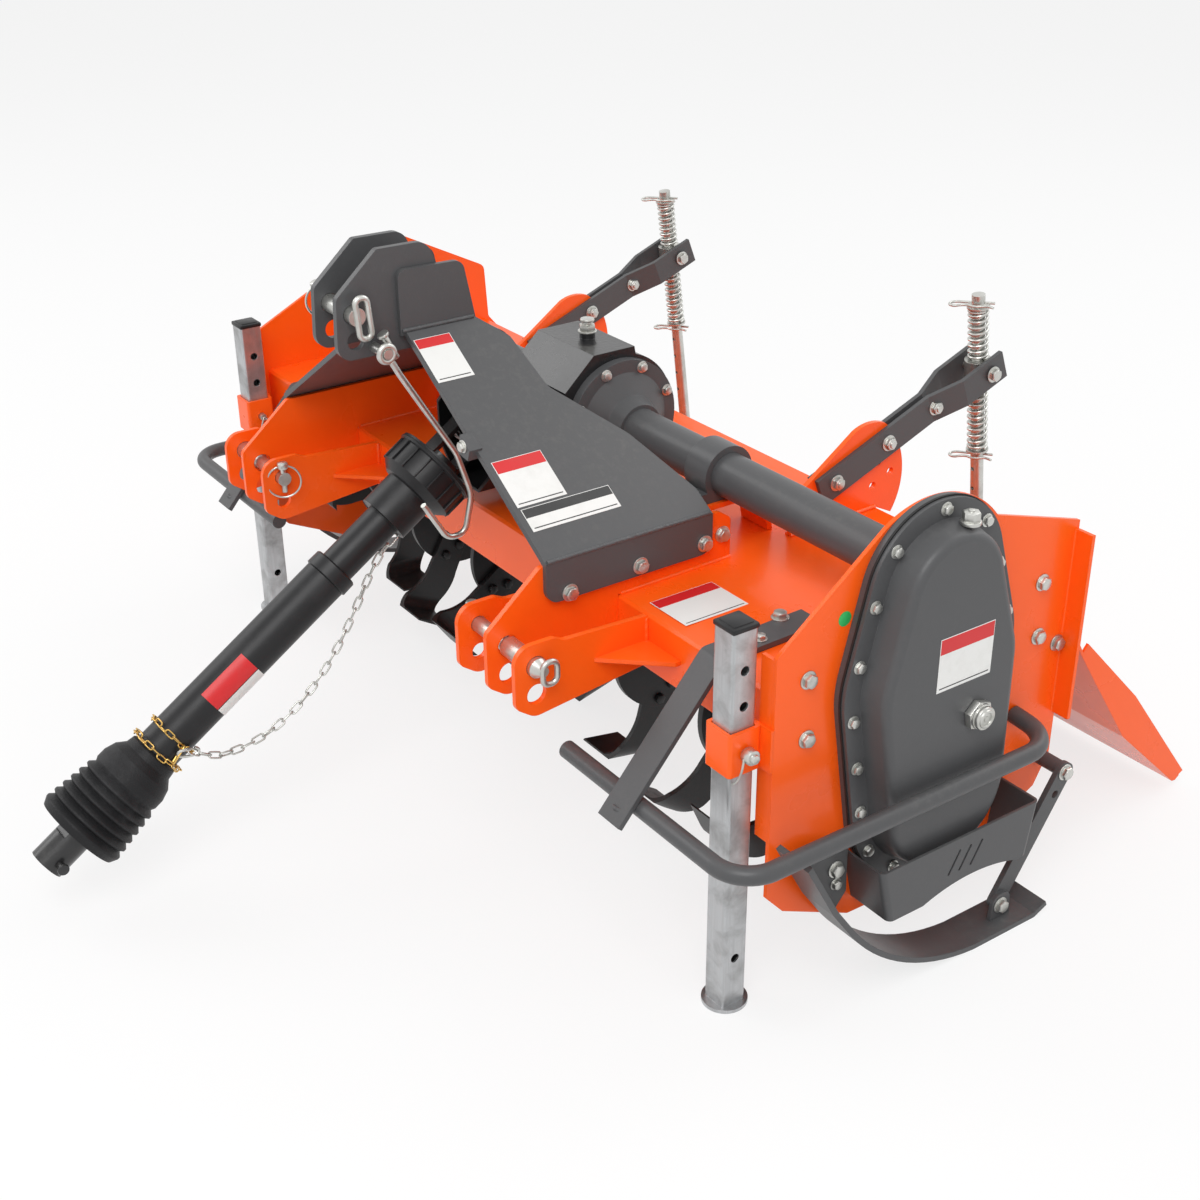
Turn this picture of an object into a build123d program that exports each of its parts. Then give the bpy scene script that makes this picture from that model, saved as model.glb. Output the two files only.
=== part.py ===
from build123d import *
import os
from math import atan2, cos, degrees, hypot, radians, sin, tan

# Rotavator (power-driven rotary tiller), millimetres.
# X runs across the machine with the chain case on +X, Y runs to the rear,
# Z is up and the ground is Z = 0.

# ---------------------------------------------------------------- main sizes
AXLE_Y = 154.0          # gearbox, axle tubes and rotor share this Y
AXLE_Z = 566.0
ROTOR_Z = 236.0
PLATE_X = 730.0         # outer face of each side plate
PLATE_T = 6.0
DECK_FRONT_Y = -64.0
DECK_Z = 458.0
RIDGE_Y = 401.0
RIDGE_Z = 465.0
DECK_REAR_Y = 448.0
DECK_REAR_Z = 402.0
DECK_T = 5.0
LIP_LOW = 376.0

HITCH_Y = -240.0        # lower hitch pins
HITCH_Z = 438.0
HITCH_LOW_Z = 397.0     # second, empty row of holes
INNER_X = 303.0         # hitch plates, middle of the sheet
MIDDLE_X = 376.0
OUTER_X = 443.5
HITCH_T = 8.0
PIN_INNER_R = 11.0      # category 1 part of the lower pin
PIN_OUTER_R = 14.0      # category 2 part of the lower pin

MAST_Y = -258.0         # top link pin
MAST_Z = 798.0
MAST_X = 38.0           # outer face of each mast plate
MAST_T = 10.0
TOP_PIN_R = 12.5

LEG_TOP_X = 46.0
LEG_TOP_Z = 762.0
LEG_FOOT_X = 388.0
LEG_FOOT_Z = 540.0
LEG_T = 8.0

STAND_X = 687.0
STAND_Y = -112.0
STAND_W = 38.0
STAND_TOP = 562.0
STAND_HOLES = (509.0, 460.0, 398.0, 80.0)    # heights of the pin holes
SLEEVE_LOW = 368.0
SLEEVE_HIGH = 428.0

HOOP_R = 12.5
HOOP_X = 806.0
HOOP_Y = -192.0
HOOP_Z = 293.0
HOOP_REAR_Y = 346.0

ROD_X = 382.0           # tailboard spring rods
ROD_R = 10.0
SWIVEL_Y = 595.0
SWIVEL_Z = 640.0
EYE_Y = 641.0
EYE_Z = 262.0
ARM_Y = 313.0           # pivot bolt of the lift arms
ARM_Z = 530.0

HINGE_Y = 462.0         # tailboard hinge
HINGE_Z = 388.0

JOINT_Y = -73.0         # driveline universal joint
JOINT_Z = AXLE_Z
SLOPE = 34.0            # driveline angle below level, degrees

os.makedirs("parts", exist_ok=True)


# ---------------------------------------------------------------- deck
with BuildPart() as deck:
    with BuildSketch(Plane.YZ.offset(-PLATE_X + PLATE_T)):
        Polygon(
            (DECK_FRONT_Y, LIP_LOW),
            (DECK_FRONT_Y, DECK_Z - 4),
            (DECK_FRONT_Y + 4, DECK_Z),
            (RIDGE_Y, RIDGE_Z),
            (DECK_REAR_Y, DECK_REAR_Z),
            (DECK_REAR_Y - 5, DECK_REAR_Z - 3),
            (RIDGE_Y - 3, RIDGE_Z - DECK_T),
            (DECK_FRONT_Y + DECK_T, DECK_Z - DECK_T),
            (DECK_FRONT_Y + DECK_T, LIP_LOW),
            align=None,
        )
    extrude(amount=2 * (PLATE_X - PLATE_T))
deck.part.label = "deck"
export_step(deck.part, "parts/deck.step")

# Hinge eyes: x of each eye's outer end, length, owner
EYE_R = 10.0
EYE_BORE = 6.05
DECK_EYES = [(700.0, 30.0), (352.0, 30.0), (15.0, 30.0), (-322.0, 30.0), (-670.0, 30.0)]
BOARD_EYES = [(669.0, 30.0), (321.0, 30.0), (-16.0, 30.0), (-291.0, 30.0), (-639.0, 30.0)]
with BuildPart() as deck_hinges:
    for outer_x, length in DECK_EYES:
        with BuildSketch(Plane.YZ.offset(outer_x - length)):
            with Locations((HINGE_Y, HINGE_Z)):
                Circle(EYE_R)
            Polygon((448, 402), (453, 400), (470, 392), (460, 380), (444, 396), (443, 399), align=None)
            with Locations((HINGE_Y, HINGE_Z)):
                Circle(EYE_BORE, mode=Mode.SUBTRACT)
        extrude(amount=length)
deck_hinges.part.label = "deck_hinges"
export_step(deck_hinges.part, "parts/deck_hinges.step")

with BuildPart() as hinge_rod:
    with Locations(Location((0, HINGE_Y, HINGE_Z), (0, 90, 0))):
        Cylinder(6, 1416)
hinge_rod.part.label = "hinge_rod"
export_step(hinge_rod.part, "parts/hinge_rod.step")

# ---------------------------------------------------------------- side plates
with BuildPart() as side_plate_right:
    with BuildSketch(Plane.YZ.offset(PLATE_X - PLATE_T)):
        with BuildLine():
            Polyline(
                (78, 650),
                (-84, 526),
                (-84, 178),
                (-56, 146),
                (60, 90),
                (260, 84),
                (408, 158),
                (433, 205),
                (433, 566),
                (272, 616),
            )
            ThreePointArc((272, 616), (AXLE_Y + 6, AXLE_Z + 106), (78, 650))
        make_face()
        with Locations((AXLE_Y, ROTOR_Z)):
            Circle(37, mode=Mode.SUBTRACT)
    extrude(amount=PLATE_T)
    with BuildSketch(Plane.XY.offset(262)):
        with BuildLine():
            FilletPolyline(
                (PLATE_X - 28, -84),
                (PLATE_X, -84),
                (PLATE_X, -60),
                (PLATE_X - PLATE_T, -60),
                (PLATE_X - PLATE_T, -78),
                (PLATE_X - 28, -78),
                radius=[0, 8, 0, 0, 2, 0],
                close=True,
            )
        make_face()
    extrude(amount=260)
    with BuildSketch(Plane.XY.offset(274)):
        with BuildLine():
            FilletPolyline(
                (PLATE_X - PLATE_T, 400),
                (PLATE_X, 400),
                (PLATE_X, 427),
                (PLATE_X + 28, 427),
                (PLATE_X + 28, 433),
                (PLATE_X - PLATE_T, 433),
                radius=[0, 0, 2, 0, 0, 8],
                close=True,
            )
        make_face()
    extrude(amount=280)
side_plate_right.part.label = "side_plate_right"
export_step(side_plate_right.part, "parts/side_plate_right.step")

with BuildPart() as side_plate_left:
    with BuildSketch(Plane.YZ.offset(-PLATE_X)):
        with BuildLine():
            FilletPolyline(
                (-84, 530),
                (203, 672),
                (402, 572),
                (408, 470),
                (433, 440),
                (433, 205),
                (408, 158),
                (260, 84),
                (60, 90),
                (-56, 146),
                (-84, 178),
                radius=[8, 14, 16, 12, 8, 14, 14, 24, 24, 14, 10],
                close=True,
            )
        make_face()
        with Locations((AXLE_Y, ROTOR_Z)):
            Circle(37, mode=Mode.SUBTRACT)
    extrude(amount=PLATE_T)
    with Locations((-PLATE_X + 14, -81, 392)):
        Box(28, PLATE_T, 260)
side_plate_left.part.label = "side_plate_left"
export_step(side_plate_left.part, "parts/side_plate_left.step")

# ---------------------------------------------------------------- lower hitch
with BuildPart() as hitch_brackets:
    for side in (1, -1):
        for x, hole in ((INNER_X, PIN_INNER_R + 0.5), (OUTER_X, PIN_OUTER_R + 0.5)):
            with BuildSketch(Plane.YZ.offset(side * x - HITCH_T / 2)):
                with BuildLine():
                    FilletPolyline(
                        (-272, 384),
                        (-272, 470),
                        (-212, 470),
                        (-196, 462),
                        (DECK_FRONT_Y, 456),
                        (DECK_FRONT_Y, 384),
                        (-244, 364),
                        radius=[14, 26, 14, 20, 2, 2, 24],
                        close=True,
                    )
                make_face()
                with Locations((HITCH_Y, HITCH_Z), (HITCH_Y, HITCH_LOW_Z)):
                    Circle(hole, mode=Mode.SUBTRACT)
            extrude(amount=HITCH_T)
        with BuildSketch(Plane.YZ.offset(side * MIDDLE_X - HITCH_T / 2)):
            with BuildLine():
                FilletPolyline(
                    (-272, 384),
                    (-272, 462),
                    (-186, 535),
                    (108, 535),
                    (128, 522),
                    (128, 462),
                    (DECK_FRONT_Y, 459),
                    (DECK_FRONT_Y, 384),
                    (-244, 364),
                    radius=[14, 14, 10, 10, 10, 0, 0, 2, 24],
                    close=True,
                )
            make_face()
            with Locations((HITCH_Y, HITCH_Z), (HITCH_Y, HITCH_LOW_Z)):
                Circle(PIN_OUTER_R + 0.5, mode=Mode.SUBTRACT)
        extrude(amount=HITCH_T)
        for foot, tip in ((OUTER_X + 4, OUTER_X + 76), (INNER_X - 4, INNER_X - 76)):
            with BuildSketch(Plane.XY.offset(414)):
                Polygon(
                    (side * foot, -150),
                    (side * foot, DECK_FRONT_Y),
                    (side * tip, DECK_FRONT_Y),
                    (side * tip, DECK_FRONT_Y - 8),
                    align=None,
                )
            extrude(amount=6)
hitch_brackets.part.label = "hitch_brackets"
export_step(hitch_brackets.part, "parts/hitch_brackets.step")

with BuildPart() as hitch_pins:
    for side in (1, -1):
        with Locations(Location((side * 335.5, HITCH_Y, HITCH_Z), (0, 90, 0))):
            Cylinder(PIN_INNER_R, 97)
        with Locations(Location((side * 418.5, HITCH_Y, HITCH_Z), (0, 90, 0))):
            Cylinder(PIN_OUTER_R, 71)
        with Locations(Location((side * 460, HITCH_Y, HITCH_Z), (0, side * 90, 0))):
            Cone(PIN_OUTER_R, 7, 14)
        with BuildLine() as handle:
            FilletPolyline(
                (side * 466, HITCH_Y - 2, HITCH_Z + 12),
                (side * 466, HITCH_Y + 20, HITCH_Z + 12),
                (side * 466, HITCH_Y + 20, HITCH_Z - 20),
                (side * 466, HITCH_Y - 2, HITCH_Z - 20),
                radius=10,
                close=True,
            )
        with BuildSketch(Plane(handle.line @ 0, z_dir=handle.line % 0)):
            Circle(4)
        sweep(path=handle.line)
hitch_pins.part.label = "hitch_pins"
export_step(hitch_pins.part, "parts/hitch_pins.step")

# ---------------------------------------------------------------- mast
with BuildPart() as mast:
    for side in (1, -1):
        with BuildSketch(Plane.YZ.offset(side * (MAST_X - MAST_T / 2) - MAST_T / 2)):
            with BuildLine():
                FilletPolyline(
                    (-284, 734),
                    (-280, 822),
                    (-215, 880),
                    (-138, 879),
                    (-98, 774),
                    (-98, 734),
                    radius=[22, 12, 8, 24, 12, 8],
                    close=True,
                )
            make_face()
            with Locations((MAST_Y, MAST_Z), (MAST_Y + 3, 760)):
                Circle(TOP_PIN_R + 0.5, mode=Mode.SUBTRACT)
        extrude(amount=MAST_T)
    with Locations((0, -120, 765)):
        Box(2 * (MAST_X - MAST_T), 10, 62)
mast.part.label = "mast"
export_step(mast.part, "parts/mast.step")

with BuildPart() as top_pin:
    with Locations(Location((-2, MAST_Y, MAST_Z), (0, 90, 0))):
        Cylinder(TOP_PIN_R, 112)
    with BuildLine() as top_handle:
        FilletPolyline(
            (54, MAST_Y - 3, MAST_Z + 26),
            (54, MAST_Y + 15, MAST_Z + 25),
            (54, MAST_Y + 20, MAST_Z - 32),
            (54, MAST_Y + 2, MAST_Z - 31),
            radius=8.5,
            close=True,
        )
    with BuildSketch(Plane(top_handle.line @ 0, z_dir=top_handle.line % 0)):
        Circle(4.5)
    sweep(path=top_handle.line)
top_pin.part.label = "top_pin"
export_step(top_pin.part, "parts/top_pin.step")

LEG_RUN = hypot(LEG_FOOT_X - LEG_TOP_X, LEG_TOP_Z - LEG_FOOT_Z)
LEG_FALL = degrees(atan2(LEG_TOP_Z - LEG_FOOT_Z, LEG_FOOT_X - LEG_TOP_X))
with BuildPart() as mast_legs:
    for side in (1, -1):
        with BuildSketch(Plane.YZ.offset(side * (LEG_TOP_X - LEG_T / 2) - LEG_T / 2)):
            with BuildLine():
                FilletPolyline(
                    (-190, 756),
                    (-190, 848),
                    (-88, 846),
                    (-70, 756),
                    radius=[0, 12, 16, 0],
                    close=True,
                )
            make_face()
        extrude(amount=LEG_T)
        slope = Plane(
            origin=(side * LEG_TOP_X, 0, LEG_TOP_Z),
            x_dir=(side * cos(radians(LEG_FALL)), 0, -sin(radians(LEG_FALL))),
            z_dir=(side * sin(radians(LEG_FALL)), 0, cos(radians(LEG_FALL))),
        )
        with BuildSketch(slope):
            with BuildLine():
                FilletPolyline(
                    (0, side * -183),
                    (LEG_RUN, side * -183),
                    (LEG_RUN, side * 90),
                    (LEG_RUN * 0.89, side * 90),
                    (LEG_RUN * 0.61, side * 43),
                    (LEG_RUN * 0.35, side * -30),
                    (LEG_RUN * 0.11, side * -39),
                    (0, side * -72),
                    radius=[0, 0, 0, 20, 60, 30, 20, 0],
                    close=True,
                )
            make_face()
        extrude(amount=-LEG_T)
        with BuildSketch(Plane.YZ.offset(side * (LEG_FOOT_X - LEG_T / 2) - LEG_T / 2)):
            with BuildLine():
                FilletPolyline(
                    (-183, 541),
                    (90, 541),
                    (90, 482),
                    (-183, 482),
                    radius=[0, 0, 20, 20],
                    close=True,
                )
            make_face()
        extrude(amount=LEG_T)
    with BuildSketch(Plane.XZ.offset(176)):
        Polygon((204, 664), (228, 648), (222, 632), (198, 636), align=None)
    extrude(amount=20)
mast_legs.part.label = "mast_legs"
export_step(mast_legs.part, "parts/mast_legs.step")

# ---------------------------------------------------------------- gearbox
with BuildPart() as gearbox:
    with BuildSketch(Plane.YZ.offset(-75)):
        with Locations((AXLE_Y, AXLE_Z)):
            Circle(101)
        Polygon(
            (AXLE_Y - 96, AXLE_Z - 60),
            (AXLE_Y - 96, AXLE_Z + 60),
            (AXLE_Y - 44, AXLE_Z + 108),
            (AXLE_Y + 30, AXLE_Z + 108),
            (AXLE_Y + 60, AXLE_Z - 60),
            align=None,
        )
        with Locations((AXLE_Y, AXLE_Z - 96)):
            Rectangle(140, 24)
        with Locations((AXLE_Y, AXLE_Z - 119.5)):
            Rectangle(240, 32, mode=Mode.SUBTRACT)
    extrude(amount=150)
    with Locations(Location((0, 46, AXLE_Z), (90, 0, 0))):
        Cylinder(62, 40)
    with Locations(Location((0, 30, AXLE_Z), (90, 0, 0))):
        Cylinder(76, 10)
    with Locations((0, AXLE_Y - 4, AXLE_Z + 111)):
        Cylinder(12, 12)
gearbox.part.label = "gearbox"
export_step(gearbox.part, "parts/gearbox.step")

with BuildPart() as axle_tubes:
    for side in (1, -1):
        with BuildSketch(Plane(origin=(0, AXLE_Y, AXLE_Z), x_dir=(1, 0, 0), z_dir=(0, 0, 1))):
            Polygon(
                (side * 75, 0),
                (side * 75, 95),
                (side * 90, 95),
                (side * 90, 76),
                (side * 108, 46),
                (side * 132, 38),
                (side * 132, 32),
                (side * (PLATE_X - PLATE_T), 32),
                (side * (PLATE_X - PLATE_T), 26),
                (side * 124, 26),
                (side * 92, 26),
                (side * 92, 0),
                align=None,
            )
        revolve(axis=Axis((0, AXLE_Y, AXLE_Z), (1, 0, 0)))
axle_tubes.part.label = "axle_tubes"
export_step(axle_tubes.part, "parts/axle_tubes.step")

SADDLE_X = 318.0
with BuildPart() as saddles:
    for side in (1, -1):
        with BuildSketch(Plane.YZ.offset(side * SADDLE_X - 24)):
            with Locations((AXLE_Y, AXLE_Z)):
                Circle(42)
            with Locations((AXLE_Y, AXLE_Z - 28)):
                Rectangle(140, 16)
            with Locations((AXLE_Y, AXLE_Z - 46)):
                Rectangle(140, 20, mode=Mode.SUBTRACT)
            with Locations((AXLE_Y, AXLE_Z)):
                Circle(32, mode=Mode.SUBTRACT)
        extrude(amount=48)
saddles.part.label = "saddles"
export_step(saddles.part, "parts/saddles.step")

with BuildPart() as pedestals:
    for side in (1, -1):
        with BuildSketch(Plane.YZ.offset(side * SADDLE_X - 30)):
            with BuildLine():
                FilletPolyline(
                    (76, 461),
                    (84, 530),
                    (224, 530),
                    (232, 463),
                    (224, 463),
                    (212, 522),
                    (96, 522),
                    (84, 461),
                    radius=[0, 12, 12, 0, 0, 6, 6, 0],
                    close=True,
                )
            make_face()
        extrude(amount=60)
pedestals.part.label = "pedestals"
export_step(pedestals.part, "parts/pedestals.step")

# ---------------------------------------------------------------- driveline
AXIS_Y = -cos(radians(SLOPE))
AXIS_Z = -sin(radians(SLOPE))
drive_axis = Axis((0, JOINT_Y, JOINT_Z), (0, AXIS_Y, AXIS_Z))
drive_plane = Plane(origin=(0, JOINT_Y, JOINT_Z), x_dir=(1, 0, 0), z_dir=(0, -AXIS_Z, AXIS_Y))
drive_cross = Plane(origin=(0, JOINT_Y, JOINT_Z), x_dir=(1, 0, 0), z_dir=(0, AXIS_Y, AXIS_Z))

with BuildPart() as input_shield:
    with BuildSketch(Plane.XZ.offset(-24)):
        with Locations((0, AXLE_Z)):
            RegularPolygon(86, 8, rotation=22.5)
            RegularPolygon(81, 8, rotation=22.5, mode=Mode.SUBTRACT)
    extrude(amount=96)
input_shield.part.label = "input_shield"
export_step(input_shield.part, "parts/input_shield.step")

with BuildPart() as input_yoke:
    with Locations(Location((0, -2, AXLE_Z), (90, 0, 0))):
        Cylinder(18, 54)
    with Locations(Location((0, -26, AXLE_Z), (90, 0, 0))):
        Cylinder(34, 12)
    for side in (1, -1):
        with BuildSketch(Plane.YZ.offset(side * 30 - 4)):
            with Locations((JOINT_Y, JOINT_Z)):
                Circle(15)
            with Locations((-48, JOINT_Z)):
                Rectangle(44, 30)
            with Locations((JOINT_Y, JOINT_Z)):
                Circle(8.1, mode=Mode.SUBTRACT)
        extrude(amount=8)
input_yoke.part.label = "input_yoke"
export_step(input_yoke.part, "parts/input_yoke.step")

with BuildPart() as drive_joint:
    with Locations(Location((0, JOINT_Y, JOINT_Z), (0, 90, 0))):
        Cylinder(8, 66)
    with Locations(Location((0, JOINT_Y, JOINT_Z), (SLOPE, 0, 0))):
        Cylinder(8, 60)
    for side in (1, -1):
        with BuildSketch(drive_cross.offset(-10)):
            with Locations((0, side * 27)):
                Rectangle(26, 7)
        extrude(amount=62)
    with BuildSketch(drive_cross.offset(46)):
        Circle(30)
    extrude(amount=12)
    with BuildSketch(drive_cross.offset(58)):
        RectangleRounded(24, 24, 3)
    extrude(amount=500)
drive_joint.part.label = "drive_joint"
export_step(drive_joint.part, "parts/drive_joint.step")

# Bell guard over the joint, one profile round the shaft
with BuildPart() as guard_bell:
    with BuildSketch(drive_plane):
        Polygon(
            (59, 58),
            (65, 58),
            (65, 66),
            (62, 68),
            (62, 104),
            (48, 116),
            (40, 118),
            (40, 172),
            (27, 172),
            (27, 560),
            (23, 560),
            (23, 168),
            (36, 166),
            (36, 118),
            (46, 112),
            (58, 100),
            align=None,
        )
    revolve(axis=drive_axis)
guard_bell.part.label = "guard_bell"
export_step(guard_bell.part, "parts/guard_bell.step")

with BuildPart() as guard_outer:
    with BuildSketch(drive_plane):
        Polygon((28, 281), (33, 281), (33, 650), (28, 650), align=None)
    revolve(axis=drive_axis)
guard_outer.part.label = "guard_outer"
export_step(guard_outer.part, "parts/guard_outer.step")

# Safety chain that hangs under the shaft, from the bell's collar to the outer
# tube: x, distance along the shaft, distance below its axis
CHAIN_R = 6.0
CHAIN_ROUTE = [
    (4.0, 172.0, 33.4),
    (4.0, 200.0, 33.4),
    (6.0, 240.0, 46.0),
    (9.0, 290.0, 69.0),
    (13.0, 345.0, 91.0),
    (18.0, 402.0, 105.0),
    (24.0, 462.0, 108.5),
    (29.0, 516.0, 98.0),
    (34.0, 560.0, 75.0),
    (39.0, 589.0, 48.0),
    (41.0, 603.0, 7.0),
]
chain_points = [drive_plane.from_local_coords(point) for point in CHAIN_ROUTE]
chain_radii = []
for before, point, after in zip(chain_points, chain_points[1:], chain_points[2:]):
    turn = (point - before).get_angle(after - point)
    shorter = min((point - before).length, (after - point).length)
    chain_radii.append(0.45 * shorter / tan(radians(turn / 2)))
print("chain radii", [round(radius) for radius in chain_radii])
with BuildPart() as safety_chain:
    with BuildLine() as chain_line:
        FilletPolyline(*chain_points, radius=chain_radii)
    with BuildSketch(Plane(chain_line.line @ 0, z_dir=chain_line.line % 0)):
        Circle(CHAIN_R)
    sweep(path=chain_line.line)
safety_chain.part.label = "safety_chain"
export_step(safety_chain.part, "parts/safety_chain.step")
chain_length = sum(edge.length for edge in chain_line.edges())
print("chain length", round(chain_length), "volume ratio", safety_chain.part.volume / (chain_length * 3.14159 * CHAIN_R**2))

# Convoluted cone: ribs grow towards the open end
RIBS = 6
RIB_PITCH = 14.0
RIB_START = 704.0
rib_outer = []
rib_inner = []
for k in range(RIBS):
    start = RIB_START + k * RIB_PITCH
    rib_outer += [(52 + 1.6 * k, start - 4), (59 + 1.6 * k, start + 3), (59 + 1.6 * k, start + 6)]
    rib_inner += [(46 + 1.6 * k, start - 4)]
with BuildPart() as guard_bellows:
    with BuildSketch(drive_plane):
        Polygon(
            (33, 636),
            (38, 640),
            (40, 652),
            (50, 664),
            (55, 680),
            (55, 694),
            *rib_outer,
            (62, 790),
            (57, 790),
            *reversed(rib_inner),
            (50, 690),
            (46, 670),
            (36, 656),
            (33, 652),
            align=None,
        )
    revolve(axis=drive_axis)
guard_bellows.part.label = "guard_bellows"
export_step(guard_bellows.part, "parts/guard_bellows.step")

with BuildPart() as tractor_yoke:
    with BuildSketch(drive_cross.offset(688)):
        Circle(15)
    extrude(amount=64)
    with BuildSketch(drive_cross.offset(752)):
        Circle(26)
    extrude(amount=98)
    with BuildSketch(drive_cross.offset(770)):
        with Locations((0, 27), (0, -27)):
            Rectangle(60, 14)
    extrude(amount=34, mode=Mode.SUBTRACT)
    with BuildSketch(drive_cross.offset(795)):
        Circle(17.4)
    extrude(amount=55, mode=Mode.SUBTRACT)
tractor_yoke.part.label = "tractor_yoke"
export_step(tractor_yoke.part, "parts/tractor_yoke.step")

with BuildPart() as drive_tube:
    with BuildSketch(drive_cross.offset(300)):
        RectangleRounded(32, 32, 5)
        RectangleRounded(25, 25, 3, mode=Mode.SUBTRACT)
    extrude(amount=370)
    with BuildSketch(drive_cross.offset(670)):
        Circle(24)
    extrude(amount=18)
drive_tube.part.label = "drive_tube"
export_step(drive_tube.part, "parts/drive_tube.step")

# ---------------------------------------------------------------- chain case
# Three circles whose hull is the case: y, z, radius
CASE_CIRCLES = [(AXLE_Y, 562.0, 113.0), (AXLE_Y + 4, 440.0, 147.0), (AXLE_Y + 20, 262.0, 134.0)]
with BuildPart() as case_back:
    with BuildSketch(Plane.YZ.offset(PLATE_X)):
        for y, z, radius in CASE_CIRCLES:
            with Locations((y, z)):
                Circle(radius)
        make_hull()
    extrude(amount=10)
case_back.part.label = "case_back"
export_step(case_back.part, "parts/case_back.step")

with BuildPart() as case_gasket:
    with BuildSketch(Plane.YZ.offset(PLATE_X + 10)):
        for y, z, radius in CASE_CIRCLES:
            with Locations((y, z)):
                Circle(radius + 2)
        make_hull()
    extrude(amount=3)
case_gasket.part.label = "case_gasket"
export_step(case_gasket.part, "parts/case_gasket.step")

with BuildPart() as case_cover:
    with BuildSketch(Plane.YZ.offset(PLATE_X + 13)):
        for y, z, radius in CASE_CIRCLES:
            with Locations((y, z)):
                Circle(radius)
        make_hull()
    extrude(amount=6)
    for height, shrink in ((19, 26), (57, 34)):
        with BuildSketch(Plane.YZ.offset(PLATE_X + height)):
            for y, z, radius in CASE_CIRCLES:
                with Locations((y, z)):
                    Circle(radius - shrink)
            make_hull()
    loft()
    fillet(case_cover.faces().sort_by(Axis.X)[-1].edges(), 12)
    with Locations(Location((PLATE_X + 62, 203, 380), (0, 90, 0))):
        Cylinder(18, 12)
    with Locations(Location((PLATE_X + 70, 203, 380), (0, 90, 0))):
        Cylinder(14, 12)
case_cover.part.label = "case_cover"
export_step(case_cover.part, "parts/case_cover.step")

# Guard round the foot of the chain case: a bent band that widens upwards
GUARD_X = 803.0
GUARD_T = 4.0
GUARD_RINGS = [(118.0, 64.0, 322.0), (202.0, 44.0, 335.0)]      # z, front y, rear y
with BuildPart() as case_guard:
    for z, front, rear in GUARD_RINGS:
        with BuildSketch(Plane.XY.offset(z)):
            with BuildLine():
                FilletPolyline(
                    (PLATE_X, front),
                    (GUARD_X, front),
                    (GUARD_X, rear),
                    (PLATE_X, rear),
                    (PLATE_X, rear - GUARD_T),
                    (GUARD_X - GUARD_T, rear - GUARD_T),
                    (GUARD_X - GUARD_T, front + GUARD_T),
                    (PLATE_X, front + GUARD_T),
                    radius=[0, 9, 9, 0, 0, 5, 5, 0],
                    close=True,
                )
            make_face()
    loft()
    with BuildSketch(Plane.YZ.offset(PLATE_X + 20)):
        with BuildLine():
            Polyline((300, 118), (300, 110), (125, 110), (125, 118))
            ThreePointArc((125, 118), (216, 133), (300, 118))
        make_face()
        for y in (177, 197, 218):
            with Locations(Location((y, 166), 61)):
                SlotOverall(40, 4)
    extrude(amount=60, mode=Mode.SUBTRACT)
case_guard.part.label = "case_guard"
export_step(case_guard.part, "parts/case_guard.step")

# ---------------------------------------------------------------- side hoops
with BuildPart() as hoops:
    for side in (1, -1):
        with BuildLine() as path:
            FilletPolyline(
                (side * 442, HOOP_Y, HOOP_Z),
                (side * HOOP_X, HOOP_Y, HOOP_Z),
                (side * HOOP_X, HOOP_REAR_Y, HOOP_Z),
                (side * (PLATE_X + 1), HOOP_REAR_Y, HOOP_Z + 6),
                radius=50,
            )
        with BuildSketch(Plane(path.line @ 0, z_dir=path.line % 0)):
            Circle(HOOP_R)
        sweep(path=path.line)
hoops.part.label = "hoops"
export_step(hoops.part, "parts/hoops.step")

BRACE_X = 592.0
with BuildPart() as braces:
    for side in (1, -1):
        with BuildSketch(Plane.YZ.offset(side * BRACE_X - 22)):
            with BuildLine():
                FilletPolyline(
                    (95, 461.2),
                    (-67, 458.3),
                    (-225.6, 274.2),
                    (-231.3, 279.1),
                    (-70, 466.3),
                    (95, 469.2),
                    radius=[0, 6, 0, 0, 13, 0],
                    close=True,
                )
            make_face()
        extrude(amount=44)
braces.part.label = "braces"
export_step(braces.part, "parts/braces.step")

# ---------------------------------------------------------------- parking stands
with BuildPart() as stand_sleeves:
    for side in (1, -1):
        with BuildSketch(Plane.XY.offset(SLEEVE_LOW)):
            with Locations((side * STAND_X, STAND_Y)):
                RectangleRounded(STAND_W + 11, STAND_W + 11, 5)
            with Locations((side * (PLATE_X - 24), -86)):
                Rectangle(48, 4)
            with Locations((side * STAND_X, STAND_Y)):
                Rectangle(STAND_W + 1, STAND_W + 1, mode=Mode.SUBTRACT)
        extrude(amount=SLEEVE_HIGH - SLEEVE_LOW)
        with Locations(Location((side * STAND_X, STAND_Y, STAND_HOLES[2]), (0, 90, 0))):
            Cylinder(6.5, STAND_W + 20, mode=Mode.SUBTRACT)
stand_sleeves.part.label = "stand_sleeves"
export_step(stand_sleeves.part, "parts/stand_sleeves.step")

for side, name in ((1, "stand_right"), (-1, "stand_left")):
    with BuildPart() as stand:
        with BuildSketch(Plane.XY.offset(5)):
            with Locations((side * STAND_X, STAND_Y)):
                RectangleRounded(STAND_W, STAND_W, 4)
                RectangleRounded(STAND_W - 6, STAND_W - 6, 2, mode=Mode.SUBTRACT)
        extrude(amount=STAND_TOP - 5)
        with Locations((side * STAND_X, STAND_Y, 2.5)):
            Cylinder(31, 5)
        with Locations((side * STAND_X, STAND_Y, STAND_TOP + 2)):
            Box(STAND_W, STAND_W, 4)
        for height in STAND_HOLES:
            with Locations(Location((side * STAND_X, STAND_Y, height), (0, 90, 0))):
                Cylinder(6.5, STAND_W + 2, mode=Mode.SUBTRACT)
    stand.part.label = name
    export_step(stand.part, f"parts/{name}.step")

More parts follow.
